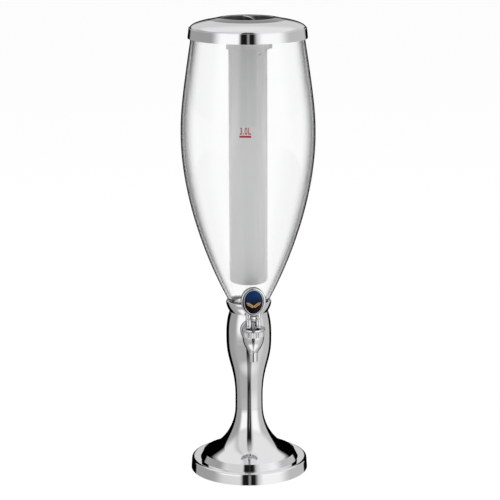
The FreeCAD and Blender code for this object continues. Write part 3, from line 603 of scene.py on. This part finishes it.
for vert in tap_form.verts:
    in_ring = ring_bottom + flute_margin < vert.co.z < ring_top - flute_margin
    if in_ring and math.hypot(vert.co.x, vert.co.y) > bowl_radius:
        wave = 0.5 + 0.5 * math.cos(math.atan2(vert.co.y, vert.co.x) * flute_count)
        vert.co.xy *= 1 - flute_depth * wave ** 2 / ring_radius
shift(tap_form, (0, tap_y, 0))
shank = Outline(0, -tap_high.y)
shank.line((neck_radius, -tap_high.y), (neck_radius, plate_back),
           (shank_collar, plate_back), (shank_collar, plate_face),
           (neck_radius, plate_face), (neck_radius, -tap_y - chamber_radius),
           (0, -tap_y - chamber_radius))
join(tap_form, lay_forward(shank.turn(96)))
stand_in("tap_body", "tap_bowl_and_spout", tap_form, tap_chrome)

# ------------ bonnet
# Plated cover screwed on the bowl over a thin gasket. The plunger slides through its bore,
# and the lever's heel rolls on its flat top.
smooth_copy("bonnet_gasket", "bonnet_seal", silicone)

plunger_bore = 3.05
bonnet_plug = 5.0
bonnet_low, bonnet_high = span("tap_bonnet")
bonnet_radius = bonnet_high.x
bonnet_top = bonnet_high.z
bonnet_bottom = bonnet_low.z + bonnet_plug
bonnet_round = (bonnet_top - bonnet_bottom) / 3
bonnet = Outline(plunger_bore, bonnet_top).line((bonnet_radius - bonnet_round, bonnet_top))
bonnet.curve((bonnet_radius, bonnet_top), (bonnet_radius, bonnet_top - bonnet_round), steps=6)
bonnet.line((bonnet_radius, bonnet_bottom + bonnet_round / 2))
bonnet.curve((bonnet_radius, bonnet_bottom), (bonnet_radius - bonnet_round / 2, bonnet_bottom),
             steps=4)
bonnet.line((chamber_radius, bonnet_bottom), (chamber_radius, bonnet_low.z),
            (plunger_bore, bonnet_low.z))
bonnet_form = bonnet.turn(128)
shift(bonnet_form, (0, tap_y, 0))
stand_in("tap_bonnet", "bonnet_cover", bonnet_form, tap_chrome)

# ------------ plunger, seat and spring
# Turned steel plunger with a ball-shaped head, a soft seat on its lower end and a coil
# spring around it that shuts the tap.
spring_steel = look("spring_wire", (0.46, 0.46, 0.47), (0.38, 0.38, 0.40), 1200, (0.25, 0.4),
                    0.004, Metallic=1.0)
smooth_copy("tap_stem", "plunger", bright_steel)
smooth_copy("tap_seat", "valve_seat", silicone)
dress("tap_spring", spring_steel)

# ------------ lever and pin
# Forked lever, die-cast and plated. Its round heel lifts the plunger, which hangs between
# the two legs on a steel pin.
lever_width = 20.0
heel = 5.1                  # pivot above the sole, and radius of the heel
heel_reach = 5.0
fork_gap = 6.4
fork_top = 10.0             # top of the fork's slot above the pivot
sole_half = 0.1             # half width of each leg where it touches the bonnet
neck_half = 3.0             # half the depth of the neck inside the knob
neck_inset = 0.2
neck_start = 11.9
neck_end = 21.9
pin_height = pivot[2] * 1000


def side_view(*runs):
    """Edge of a side view, as (forward, up) points: single points and Bezier curves."""
    points = []
    for run in runs:
        if len(run) == 1:
            points.append(Vector(run[0]))
        else:
            points += interpolate_bezier(*[Vector(pole) for pole in run], 13)[:-1]
    return points


def skin(form, rings):
    """Walls between rings of corners, with a cap on the first and on the last ring."""
    for low, high in zip(rings, rings[1:]):
        for corners in zip(low, low[1:] + low[:1], high[1:] + high[:1], high):
            form.faces.new(corners)
    form.faces.new(rings[0])
    form.faces.new(rings[-1])
    bmesh.ops.recalc_face_normals(form, faces=form.faces[:])


def reach_at(side, height):
    """How far a side view's edge reaches at a height."""
    for a, b in zip(side, side[1:]):
        if height < b.y:
            return a.x + (b.x - a.x) * (height - a.y) / (b.y - a.y)
    return side[-1].x


def leg_ring(form, middle, height, count=40):
    """Ring of a leg's corners at a height. Its front, its back and its toe are fully round."""
    front = reach_at(front_side, height)
    back = reach_at(back_side, height)
    half_width = (lever_width - fork_gap) / 4
    above_sole = min(height + heel, half_width)
    half_width = math.sqrt(half_width ** 2 - (half_width - above_sole) ** 2) + sole_half
    radius = min(half_width, (front - back) / 2)
    ring = []
    for i in range(count):
        angle = math.tau * (i + 0.5) / count
        across = radius * math.cos(angle) + math.copysign(half_width - radius, math.cos(angle))
        along = radius * math.sin(angle) + math.copysign((front - back) / 2 - radius,
                                                         math.sin(angle))
        ring.append(form.verts.new((middle + across, -(front + back) / 2 - along, height)))
    return ring


arc = 0.5523                # handle length of a Bezier quarter circle
toe_reach = heel_reach + heel
front_side = side_view(
    ((heel_reach, -heel), (heel_reach + arc * heel, -heel), (toe_reach, -arc * heel),
     (toe_reach, 0)),
    ((toe_reach, 0), (toe_reach, 0.9 * neck_start), (neck_half, 0.5 * neck_start),
     (neck_half, neck_start)),
    ((neck_half, neck_start),), ((neck_half, neck_end),))
back_side = side_view(
    ((0, -heel), (-arc * heel, -heel), (-heel, -arc * heel), (-heel, 0)),
    ((-heel, 0), (-heel, 0.6 * neck_start), (-neck_half, 0.6 * neck_start),
     (-neck_half, neck_start)),
    ((-neck_half, neck_start),), ((-neck_half, neck_end),))
leg_heights = [-heel * math.cos(math.radians(turn)) for turn in range(2, 90, 8)]
leg_heights += [neck_start * i / 14 for i in range(15)] + [neck_end]
lever = bmesh.new()
for side in (-1, 1):
    middle = side * (lever_width + fork_gap) / 4
    skin(lever, [leg_ring(lever, middle, height) for height in leg_heights])
neck = bmesh.ops.create_cube(lever, size=1)["verts"]
resize(lever, (lever_width / 2, 2 * (neck_half - neck_inset), neck_end - fork_top), neck)
shift(lever, (0, 0, (neck_end + fork_top) / 2), neck)
shift(lever, (0, tap_y, pin_height))
stand_in("tap_lever", "forked_lever", lever, tap_chrome)

smooth_copy("lever_pin", "hinge_pin", bright_steel)

# ------------ knob
# Egg-shaped knob, die-cast and plated, with rolled edges and a shallow recess for the badge in
# its front. A screw from behind holds it on the lever.
knob_half_width = 16.5
knob_above = 17.8
knob_below = 20.2
knob_round = 1.8
rim_side = 3.3
rim_end = 2.0
badge_recess = 2.2
hold = 0.2                  # keeps the shading flat up to an edge
knob_low, knob_high = span("tap_knob")
knob_front = knob_low.y
knob_back = knob_high.y
knob_middle = (knob_low.z + knob_high.z) / 2 + (knob_below - knob_above) / 2


def egg_ring(form, inset_side, inset_end, y, count=128):
    """Ring of corners in the knob's egg shape, drawn in by an inset, at a depth."""
    ring = []
    for i in range(count):
        angle = math.tau * i / count
        height = knob_above if math.sin(angle) > 0 else knob_below
        ring.append(form.verts.new(((knob_half_width - inset_side) * math.cos(angle), y,
                                    knob_middle + (height - inset_end) * math.sin(angle))))
    return ring


def egg_form(*stations):
    """Closed form through egg-shaped rings, each an (inset_side, inset_end, depth)."""
    form = bmesh.new()
    skin(form, [egg_ring(form, *station) for station in stations])
    return form


def rolled(edge, side, radius, first, last, count=8):
    """Stations of a rounded edge: insets and depths on a quarter circle, angles in degrees."""
    stations = []
    for i in range(count + 1):
        angle = math.radians(first + (last - first) * i / count)
        inset = radius * (1 - math.cos(angle))
        stations.append((inset, inset, edge + side * radius * (1 - math.sin(angle))))
    return stations


recess_floor_y = knob_front + badge_recess
knob_stations = [(knob_round + hold, knob_round + hold, knob_back)]
knob_stations += rolled(knob_back, -1, knob_round, 90, 0)
knob_stations += rolled(knob_front, 1, knob_round, 0, 90)
knob_stations += [
    (rim_side - hold, rim_end, knob_front),
    (rim_side, rim_end, knob_front),
    (rim_side, rim_end, knob_front + hold),
    (rim_side, rim_end, recess_floor_y - hold),
    (rim_side, rim_end, recess_floor_y),
    (rim_side + hold, rim_end + hold, recess_floor_y),
]
stand_in("tap_knob", "egg_knob", egg_form(*knob_stations), tap_chrome)

# ------------ badge ring and badge
# White enamelled ring and a domed badge in blue that fades to black, both glued into the
# knob's recess.
bezel_gap = 0.3
bezel_width = 0.6
badge_span = 38.0           # the dome rises by its crown over this span
badge_crown = 1.4
crest_lead = 0.3            # its crest, cut flat at the knob's rim, would reach this far past it
badge_core = 0.5            # half the size of the innermost ring of corners
badge_rings = 12
black_below = 9.0           # plain black this far below the knob's widest place
blue_above = 12.0           # and plain blue this far above it
badge_side = rim_side + bezel_gap + bezel_width
badge_end = rim_end + bezel_gap + bezel_width
crown_radius = (badge_span ** 2 / 4 + badge_crown ** 2) / (2 * badge_crown)
crest = knob_front - crest_lead
dome_middle = (knob_low.z + knob_high.z) / 2

white_enamel = look("white_enamel", (0.82, 0.82, 0.81), (0.78, 0.78, 0.77), 200, (0.1, 0.2),
                    0.004, Coat_Weight=0.4)
smooth_copy("knob_bezel", "badge_ring", white_enamel)

badge_blue = (0.003, 0.027, 0.098)
badge_black = (0.002, 0.003, 0.006)
badge_enamel = look("badge_enamel", badge_blue, badge_blue, 700, (0.18, 0.26), 0.003,
                    Specular_IOR_Level=0.2, Coat_Weight=0.12, Coat_Roughness=0.03)
badge_place = add_node(badge_enamel.node_tree, "TexCoord").outputs["Object"]
badge_height = add_node(badge_enamel.node_tree, "SeparateXYZ", Vector=badge_place).outputs["Z"]
fade_into(badge_enamel, badge_black, badge_height, (knob_middle + blue_above) / 1000,
          (knob_middle - black_below) / 1000)


def on_badge(x, height):
    """Depth of the badge's dome at a place on it. The dome is cut flat at the knob's rim."""
    fall = math.hypot(x, height - dome_middle)
    return max(crest + crown_radius - math.sqrt(crown_radius ** 2 - fall ** 2), knob_front)


badge_stations = [(badge_side, badge_end, recess_floor_y)]
for i in range(badge_rings + 1):
    badge_stations.append((
        badge_side + (knob_half_width - badge_core - badge_side) * i / badge_rings,
        badge_end + (knob_above - badge_core - badge_end) * i / badge_rings, knob_front))
badge_form = egg_form(*badge_stations)
for vert in badge_form.verts:
    if vert.co.y < recess_floor_y - hold:
        vert.co.y = on_badge(vert.co.x, vert.co.z)
stand_in("knob_badge", "domed_badge", badge_form, badge_enamel)

# ------------ ears of barley
# Thin relief in gold and copper on the badge: two ears of barley that spread from one tie,
# each a stem with two rows of grains and a grain at its tip.
gold = look("gold_relief", (0.86, 0.58, 0.24), (0.56, 0.24, 0.08), 420, (0.28, 0.42), 0.01,
            Metallic=0.7)
tie_height = -8.0           # the tie below the knob's widest place
fan = (-57.0, 57.0)         # lean of the two ears
ear_start = 1.8             # first grains above the tie
stem_size = (0.8, 0.4, ear_start + 1)
grain_rows = 4
grain_size = (1.5, 0.5, 2.9)
grain_point = 0.55          # share of its width that a grain loses at its tips
grain_pitch = 2.1
grain_offset = 1.0          # grains beside the middle of the ear
grain_lean = 32.0


def grain(form, across, along, lean, ear_lean, size):
    """One pointed grain beside an ear's stem, leaning outwards."""
    verts = bmesh.ops.create_icosphere(form, subdivisions=2, radius=0.5)["verts"]
    for vert in verts:
        vert.co.x *= 1 - (2 * vert.co.z) ** 2 * grain_point
    resize(form, size, verts)
    for turn, place in ((lean, (across, 0, along)), (ear_lean, (0, 0, tie_height))):
        rotate(form, turn, "Y", verts)
        shift(form, place, verts)
    for vert in verts:
        height = knob_middle + vert.co.z
        vert.co = (vert.co.x, on_badge(vert.co.x, height) + vert.co.y, height)


ear = bmesh.new()
for ear_lean in fan:
    grain(ear, 0, ear_start / 2, 0, ear_lean, stem_size)
    for row in range(grain_rows):
        for side in (-1, 1):
            grain(ear, side * grain_offset, ear_start + row * grain_pitch, side * grain_lean,
                  ear_lean, grain_size)
    grain(ear, 0, ear_start + grain_rows * grain_pitch, 0, ear_lean, grain_size)
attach(shown("barley_relief", ear, gold), "tap_lever")

smooth_copy("knob_screw", "knob_fixing_screw", bright_steel)

# ------------ ice tube
# Closed tube of frosted acrylic that hangs from the lid and is filled with ice. It has a
# thicker ring with a lug at its mouth and a small vent boss.
frosted_acrylic = look("frosted_acrylic", (1.0, 1.0, 1.0), (0.97, 0.972, 0.975), 1600,
                       (0.42, 0.55), 0.02, IOR=1.15, Transmission_Weight=0.05, Coat_Weight=0.9,
                       Coat_Roughness=0.2)
smooth_copy("ice_tube", "frosted_ice_tube", frosted_acrylic)
smooth_copy("tube_o_ring", "tube_seal", silicone)

# ------------ lid liner and seal
# White plate under the lid. Its plug carries the ice tube, and a silicone ring in its rim
# rests on the container.
smooth_copy("lid_liner", "inner_lid", white_moulding)
smooth_copy("lid_seal", "rim_seal", silicone)
smooth_copy("lid_screws", "lid_fixing_screws", bright_steel)

# ------------ lid cover
# Plated ring with a nearly upright band that reaches over the container's rim, and a
# shallow dome that rises to the middle.
lid_wall = 2.4
band_height = 13.3
band_draft = 1.4
band_step = 1.3
dome_width = 26.7
cover_low, cover_high = span("lid_cover")
skirt_outer = cover_high.x
skirt_bottom = cover_low.z
dome_top = cover_high.z
band_top = skirt_bottom + band_height
dome_rise = dome_top - band_top
band_side = skirt_outer - band_draft
dome_edge = band_side - band_step
grip_radius = dome_edge - dome_width
skirt_inner = skirt_outer - lid_wall
band_round = 0.5

dome = [(dome_edge, band_top), (dome_edge - 0.03 * dome_width, band_top + 0.45 * dome_rise),
        (grip_radius + 0.525 * dome_width, band_top + 0.78 * dome_rise),
        (grip_radius, dome_top)]
dome_inside = inside(dome, lid_wall)
cover = Outline(skirt_outer, skirt_bottom).line((band_side, band_top - band_round))
cover.curve((band_side, band_top), (band_side - band_round, band_top), steps=5)
cover.line(dome[0]).curve(*dome[1:], steps=36)
cover.line(dome_inside[3]).curve(*dome_inside[2::-1], steps=20)
cover.line((skirt_inner, skirt_bottom))
stand_in("lid_cover", "lid_ring", cover.turn(256), chrome)

# ------------ lid grip
# Plated middle of the lid: a raised ring with plating painted darker, as painted shade for its
# darker reflection, around a deep black round recess, and a gently curved bright finger bar across
# it.
grip_gap = 0.2
grip_width = 16.6
grip_wall = 2.2
recess_draft = 2.2
recess_round = 1.2
cup_depth = 6.0             # the recess's outside starts this far under the dome's top
flange_depth = 3.0
flange_bevel = 1.0
bar_drop = 0.8
bar_turn = -6.5
bar_round = 1.0
grip_low, grip_high = span("lid_grip")
grip_top = grip_high.z
grip_rise = grip_top - dome_top
recess_radius = grip_radius - grip_width
recess_floor = grip_low.z + grip_wall
floor_radius = recess_radius - recess_draft
grip_edge = grip_radius - grip_gap

grip = Outline(0, grip_low.z)
grip.line((floor_radius + grip_wall, grip_low.z),
          (recess_radius + grip_wall, dome_top - cup_depth),
          (grip_edge - flange_bevel, dome_top - flange_depth),
          (grip_edge, dome_top - band_round))
grip.curve((grip_edge, dome_top), (grip_edge - band_round, dome_top), steps=5)
grip.curve((recess_radius + 0.54 * grip_width, dome_top + 0.75 * grip_rise),
           (recess_radius + 0.3 * grip_width, grip_top),
           (recess_radius + recess_round, grip_top), steps=24)
grip.curve((recess_radius, grip_top), (recess_radius, grip_top - recess_round), steps=8)
grip.line((floor_radius, recess_floor), (0, recess_floor))
grip_form = grip.turn(256)
# Faces outside the recess take the darker plating, which is painted shade. The recess's walls and
# floor are black.
for face in grip_form.faces:
    centre = face.calc_center_median()
    if centre.xy.length > recess_radius:
        face.material_index = 2
    elif centre.z > recess_floor - grip_wall / 2:
        face.material_index = 1

reach = recess_radius + recess_round
bar_left = [(-0.25 * reach, reach), (0.09 * reach, 0.62 * reach), (0.13 * reach, 0.1 * reach),
            (0.24 * reach, -reach)]
bar_right = [(0.48 * reach, -reach), (0.32 * reach, -0.25 * reach), (0.27 * reach, 0.4 * reach),
             (0.25 * reach, reach)]
plan = []
for poles in (bar_left, bar_right):
    plan += interpolate_bezier(*[Vector((*pole, 0)) for pole in poles], 25)
finger_bar = bmesh.new()
bar_face = finger_bar.faces.new([finger_bar.verts.new(point) for point in plan])
raised = bmesh.ops.extrude_face_region(finger_bar, geom=[bar_face], use_keep_orig=True)["geom"]
bar_top = [item for item in raised if isinstance(item, bmesh.types.BMVert)]
bar_height = grip_top - bar_drop - recess_floor + grip_wall / 2
shift(finger_bar, (0, 0, bar_height), bar_top)
bmesh.ops.recalc_face_normals(finger_bar, faces=finger_bar.faces[:])
top_edges = [edge for edge in finger_bar.edges
             if all(abs(vert.co.z - bar_height) < 0.001 for vert in edge.verts)]
bmesh.ops.bevel(finger_bar, geom=top_edges, offset=bar_round, affect="EDGES", segments=5,
                profile=0.5, material=-1, clamp_overlap=True)
shift(finger_bar, (0, 0, recess_floor - grip_wall / 2))
rotate(finger_bar, bar_turn, "Z")
join(grip_form, finger_bar)
black_recess = look("black_recess", (0.012, 0.012, 0.013), (0.02, 0.02, 0.021), 500,
                    (0.25, 0.4), 0.01)
# Painted shade: the ring's plating is a darker copy of the chrome.
painted_dark_chrome = look("painted_dark_plating", (0.27, 0.27, 0.275), (0.23, 0.23, 0.235), 22,
                     (0.04, 0.09), 0.01, Metallic=1.0)
stand_in("lid_grip", "grip_and_finger_bar", grip_form, chrome, black_recess, painted_dark_chrome)

# ------------ studio floor
# Plain white paper that reaches far behind the tower. Most of its white doesn't depend on the
# lamps, and the rest keeps the tower's soft shadow.
floor_radius_m = 14.0
glow_share = 0.82
paper_glow = 1.07

floor_form = bmesh.new()
bmesh.ops.create_circle(floor_form, cap_ends=True, segments=96, radius=floor_radius_m * 1000)
white_paper = look("white_paper", (0.90, 0.90, 0.90), (0.88, 0.88, 0.88), 40, (0.9, 1.0), 0.0)


def show_mix(tree, share, first, second):
    """Shows a mix of two shaders on a material's surface."""
    mix = add_node(tree, "MixShader", Fac=share)
    feed(mix.inputs[1], first)
    feed(mix.inputs[2], second)
    feed(tree.nodes["Material Output"].inputs["Surface"], mix.outputs["Shader"])


paper_tree = white_paper.node_tree
glow = add_node(paper_tree, "Emission", Strength=paper_glow)
show_mix(paper_tree, glow_share, paper_tree.nodes["Principled BSDF"].outputs["BSDF"],
         glow.outputs["Emission"])
paper_floor = shown("paper_floor", floor_form, white_paper)
paper_floor.visible_glossy = False     # polished metal mirrors the room instead

# ------------ studio light
# A room that plain surfaces see as even white, and that polished metal mirrors as it is: a
# soft box on each side, a dark gap between them in front, grey walls, and black cards low
# behind the tower. A soft lamp on each side lights the rest.
camera_azimuth = -6.5
room_light = 0.6            # what the room adds to surfaces that don't mirror it
lamp_aim = 0.3              # height that the lamps point at

world = bpy.data.worlds.new("studio_room")
bpy.context.scene.world = world
world.use_nodes = True
room = world.node_tree
background = room.nodes["Background"]
feed(background.inputs["Color"], (1, 1, 1, 1))


def reckon(operation, first, second=0.0):
    """A Math node of the room. Its inputs are outlets or numbers."""
    node = add_node(room, "Math", {"operation": operation})
    feed(node.inputs[0], first)
    feed(node.inputs[1], second)
    return node.outputs["Value"]


def fade(value, start, end, low=0.0, high=1.0, how="SMOOTHSTEP"):
    """Goes from low to high while a value goes from start to end."""
    return add_node(room, "MapRange", {"interpolation_type": how}, Value=value, From_Min=start,
                    From_Max=end, To_Min=low, To_Max=high).outputs["Result"]


def patch(under, level, across, sides, height, ends):
    """Paints a part of the room over what is there. Sides and ends say, in degrees, where it
    starts and is full, and where it stops being full and ends; None has no end."""
    cover = 1.0
    for value, edges in ((across, sides), (height, ends)):
        if edges[0] is not None:
            cover = reckon("MULTIPLY", cover, fade(value, *edges[:2]))
        if edges[2] is not None:
            cover = reckon("MULTIPLY", cover, fade(value, *edges[2:], 1.0, 0.0))
    return fade(cover, 0.0, 1.0, under, level, "LINEAR")


path = add_node(room, "LightPath")
from_camera = add_node(room, "Mapping", Rotation=(0, 0, -math.radians(camera_azimuth)),
                       Vector=add_node(room, "TexCoord").outputs["Generated"])
towards = add_node(room, "SeparateXYZ", Vector=from_camera.outputs["Vector"])
turned = reckon("ARCTAN2", towards.outputs["X"], reckon("MULTIPLY", towards.outputs["Y"], -1.0))
azimuth = reckon("MULTIPLY", turned, 180 / math.pi)
elevation = reckon("MULTIPLY", reckon("ARCSINE", towards.outputs["Z"]), 180 / math.pi)
off_front = reckon("ABSOLUTE", azimuth)

seen = fade(azimuth, -20, 20, 0.36, 0.54)                       # walls, left and right
for level, across, sides, ends in (
    (0.44, azimuth, (-96, -62, -15, -9), (None, None, -22, -2)),        # low wall, left
    (0.68, azimuth, (13, 30, 56, 96), (None, None, -24, -8)),           # low wall, right
    (0.50, azimuth, (-160, -110, -80, -60), (18, 38, None, None)),      # high wall, left
    (0.73, azimuth, (-80, -56, -19, -9), (10, 34, None, None)),         # reflector, left
    (0.85, azimuth, (15, 32, 90, 135), (16, 38, None, None)),           # reflector, right
    (1.06, azimuth, (-76, -50, -20, -12), (-20, -6, 18, 30)),           # soft box, left
    (1.06, azimuth, (13, 30, 58, 90), (-28, -8, 20, 36)),               # soft box, right
    (0.66, off_front, (105, 150, None, None), (4, 14, None, None)),     # pale wall behind
    (0.00, off_front, (140, 150, None, None), (None, None, 4, 12)),     # and dark, low behind
    (0.01, azimuth, (-16, -11, 10, 19), (-66, -26, 44, 72)),            # gap in front
    (0.30, azimuth, (-3, 1, 1, 5), (-34, -16, 16, 34)),                 # camera stand in it
    (1.00, azimuth, (-90, -60, -16, -9), (-86, -72, -52, -38)),         # pale floor, left
    (1.00, azimuth, (14, 24, 60, 90), (-86, -72, -52, -38)),            # pale floor, right
    (0.84, off_front, (60, 100, None, None), (26, 44, None, None)),     # high wall, behind
    (0.76, off_front, (None,) * 4, (72, 84, None, None)),               # roof light
):
    seen = patch(seen, level, across, sides, elevation, ends)
plain = reckon("MAXIMUM", path.outputs["Is Camera Ray"], path.outputs["Is Transmission Ray"])
unmirrored = fade(plain, 0, 1, room_light, 1.0)
feed(background.inputs["Strength"], fade(path.outputs["Is Glossy Ray"], 0, 1, unmirrored, seen))


def outward(azimuth, elevation):
    """Direction away from the tower. Azimuth 0 is the drinker's side."""
    a, e = math.radians(azimuth), math.radians(elevation)
    return Vector((math.sin(a) * math.cos(e), -math.cos(a) * math.cos(e), math.sin(e)))


def soft_lamp(name, azimuth, elevation, distance, size, power):
    lamp = bpy.data.lights.new(name, "AREA")
    lamp.shape = "DISK"
    lamp.size = size
    lamp.energy = power
    lamp_object = placed(name, lamp)
    back = outward(azimuth, elevation)
    lamp_object.location = back * distance + Vector((0, 0, lamp_aim))
    lamp_object.rotation_euler = back.to_track_quat("Z", "Y").to_euler()
    lamp_object.visible_glossy = False
    lamp_object.visible_transmission = False


soft_lamp("lamp_left", -60, 45, 2.2, 1.4, 26)
soft_lamp("lamp_right", 70, 40, 2.4, 1.6, 16)


def black_card(name, first, last, radius, low, high, fade_angle=5.0, fade_height=0.04):
    """Upright card bent round the tower between two azimuths. Its sides and top fade out."""
    form = bmesh.new()
    cover = form.verts.layers.float.new("cover")
    post = [form.verts.new((0, -radius * 1000, height * 1000))
            for height in (low, high - fade_height, high)]
    for lower, upper in zip(post, post[1:]):
        form.edges.new((lower, upper))
    rotate(form, camera_azimuth + first, "Z")
    bmesh.ops.spin(form, geom=form.verts[:] + form.edges[:], cent=(0, 0, 0), axis=(0, 0, 1),
                   angle=math.radians(last - first), steps=round((last - first) / fade_angle))
    for vert in form.verts:
        azimuth = math.degrees(math.atan2(vert.co.x, -vert.co.y)) - camera_azimuth
        turned = (azimuth - first) % 360
        inside_sides = fade_angle / 2 < turned < last - first - fade_angle / 2
        below_top = vert.co.z < (high - fade_height / 2) * 1000
        vert[cover] = float(inside_sides and below_top)
    material = bpy.data.materials.new(name)
    material.use_nodes = True
    tree = material.node_tree
    tree.nodes.remove(tree.nodes["Principled BSDF"])
    share = add_node(tree, "Attribute", {"attribute_name": "cover"})
    black = add_node(tree, "BsdfDiffuse", Color=(0.0, 0.0, 0.0, 1.0))
    show_mix(tree, share.outputs["Fac"], add_node(tree, "BsdfTransparent").outputs["BSDF"],
             black.outputs["BSDF"])
    card = shown(name, form, material)
    for ray in ("camera", "diffuse", "transmission", "shadow"):
        setattr(card, "visible_" + ray, False)


black_card("card_left", -165, -114, 0.3, -0.12, 0.32, fade_height=0.1)
black_card("card_right", 122, 165, 0.3, -0.12, 0.26, fade_height=0.06)

# ------------ camera
# Long lens that looks down a little at the tap side of the tower, from a few degrees to the
# left of the tap.
picture_width = 500
focal_pixels = 1894
pitch = 13.1
distance = 2.5569
aim_height = 0.30755
aim_right = 0.0020
roll = -0.2

camera = bpy.data.cameras.new("camera")
camera.sensor_width = 36.0
camera.lens = camera.sensor_width * focal_pixels / picture_width
camera.clip_start = 0.1
camera.clip_end = 60
camera_object = placed("camera", camera)
back = outward(camera_azimuth, pitch)
right = outward(camera_azimuth + 90, 0)
camera_object.location = Vector((0, 0, aim_height)) + right * aim_right + back * distance
facing = (-back).to_track_quat("-Z", "Y").to_matrix() @ Matrix.Rotation(math.radians(roll), 3, "Z")
camera_object.rotation_euler = facing.to_euler()
bpy.context.scene.camera = camera_object

bpy.context.scene.view_settings.view_transform = "Standard"
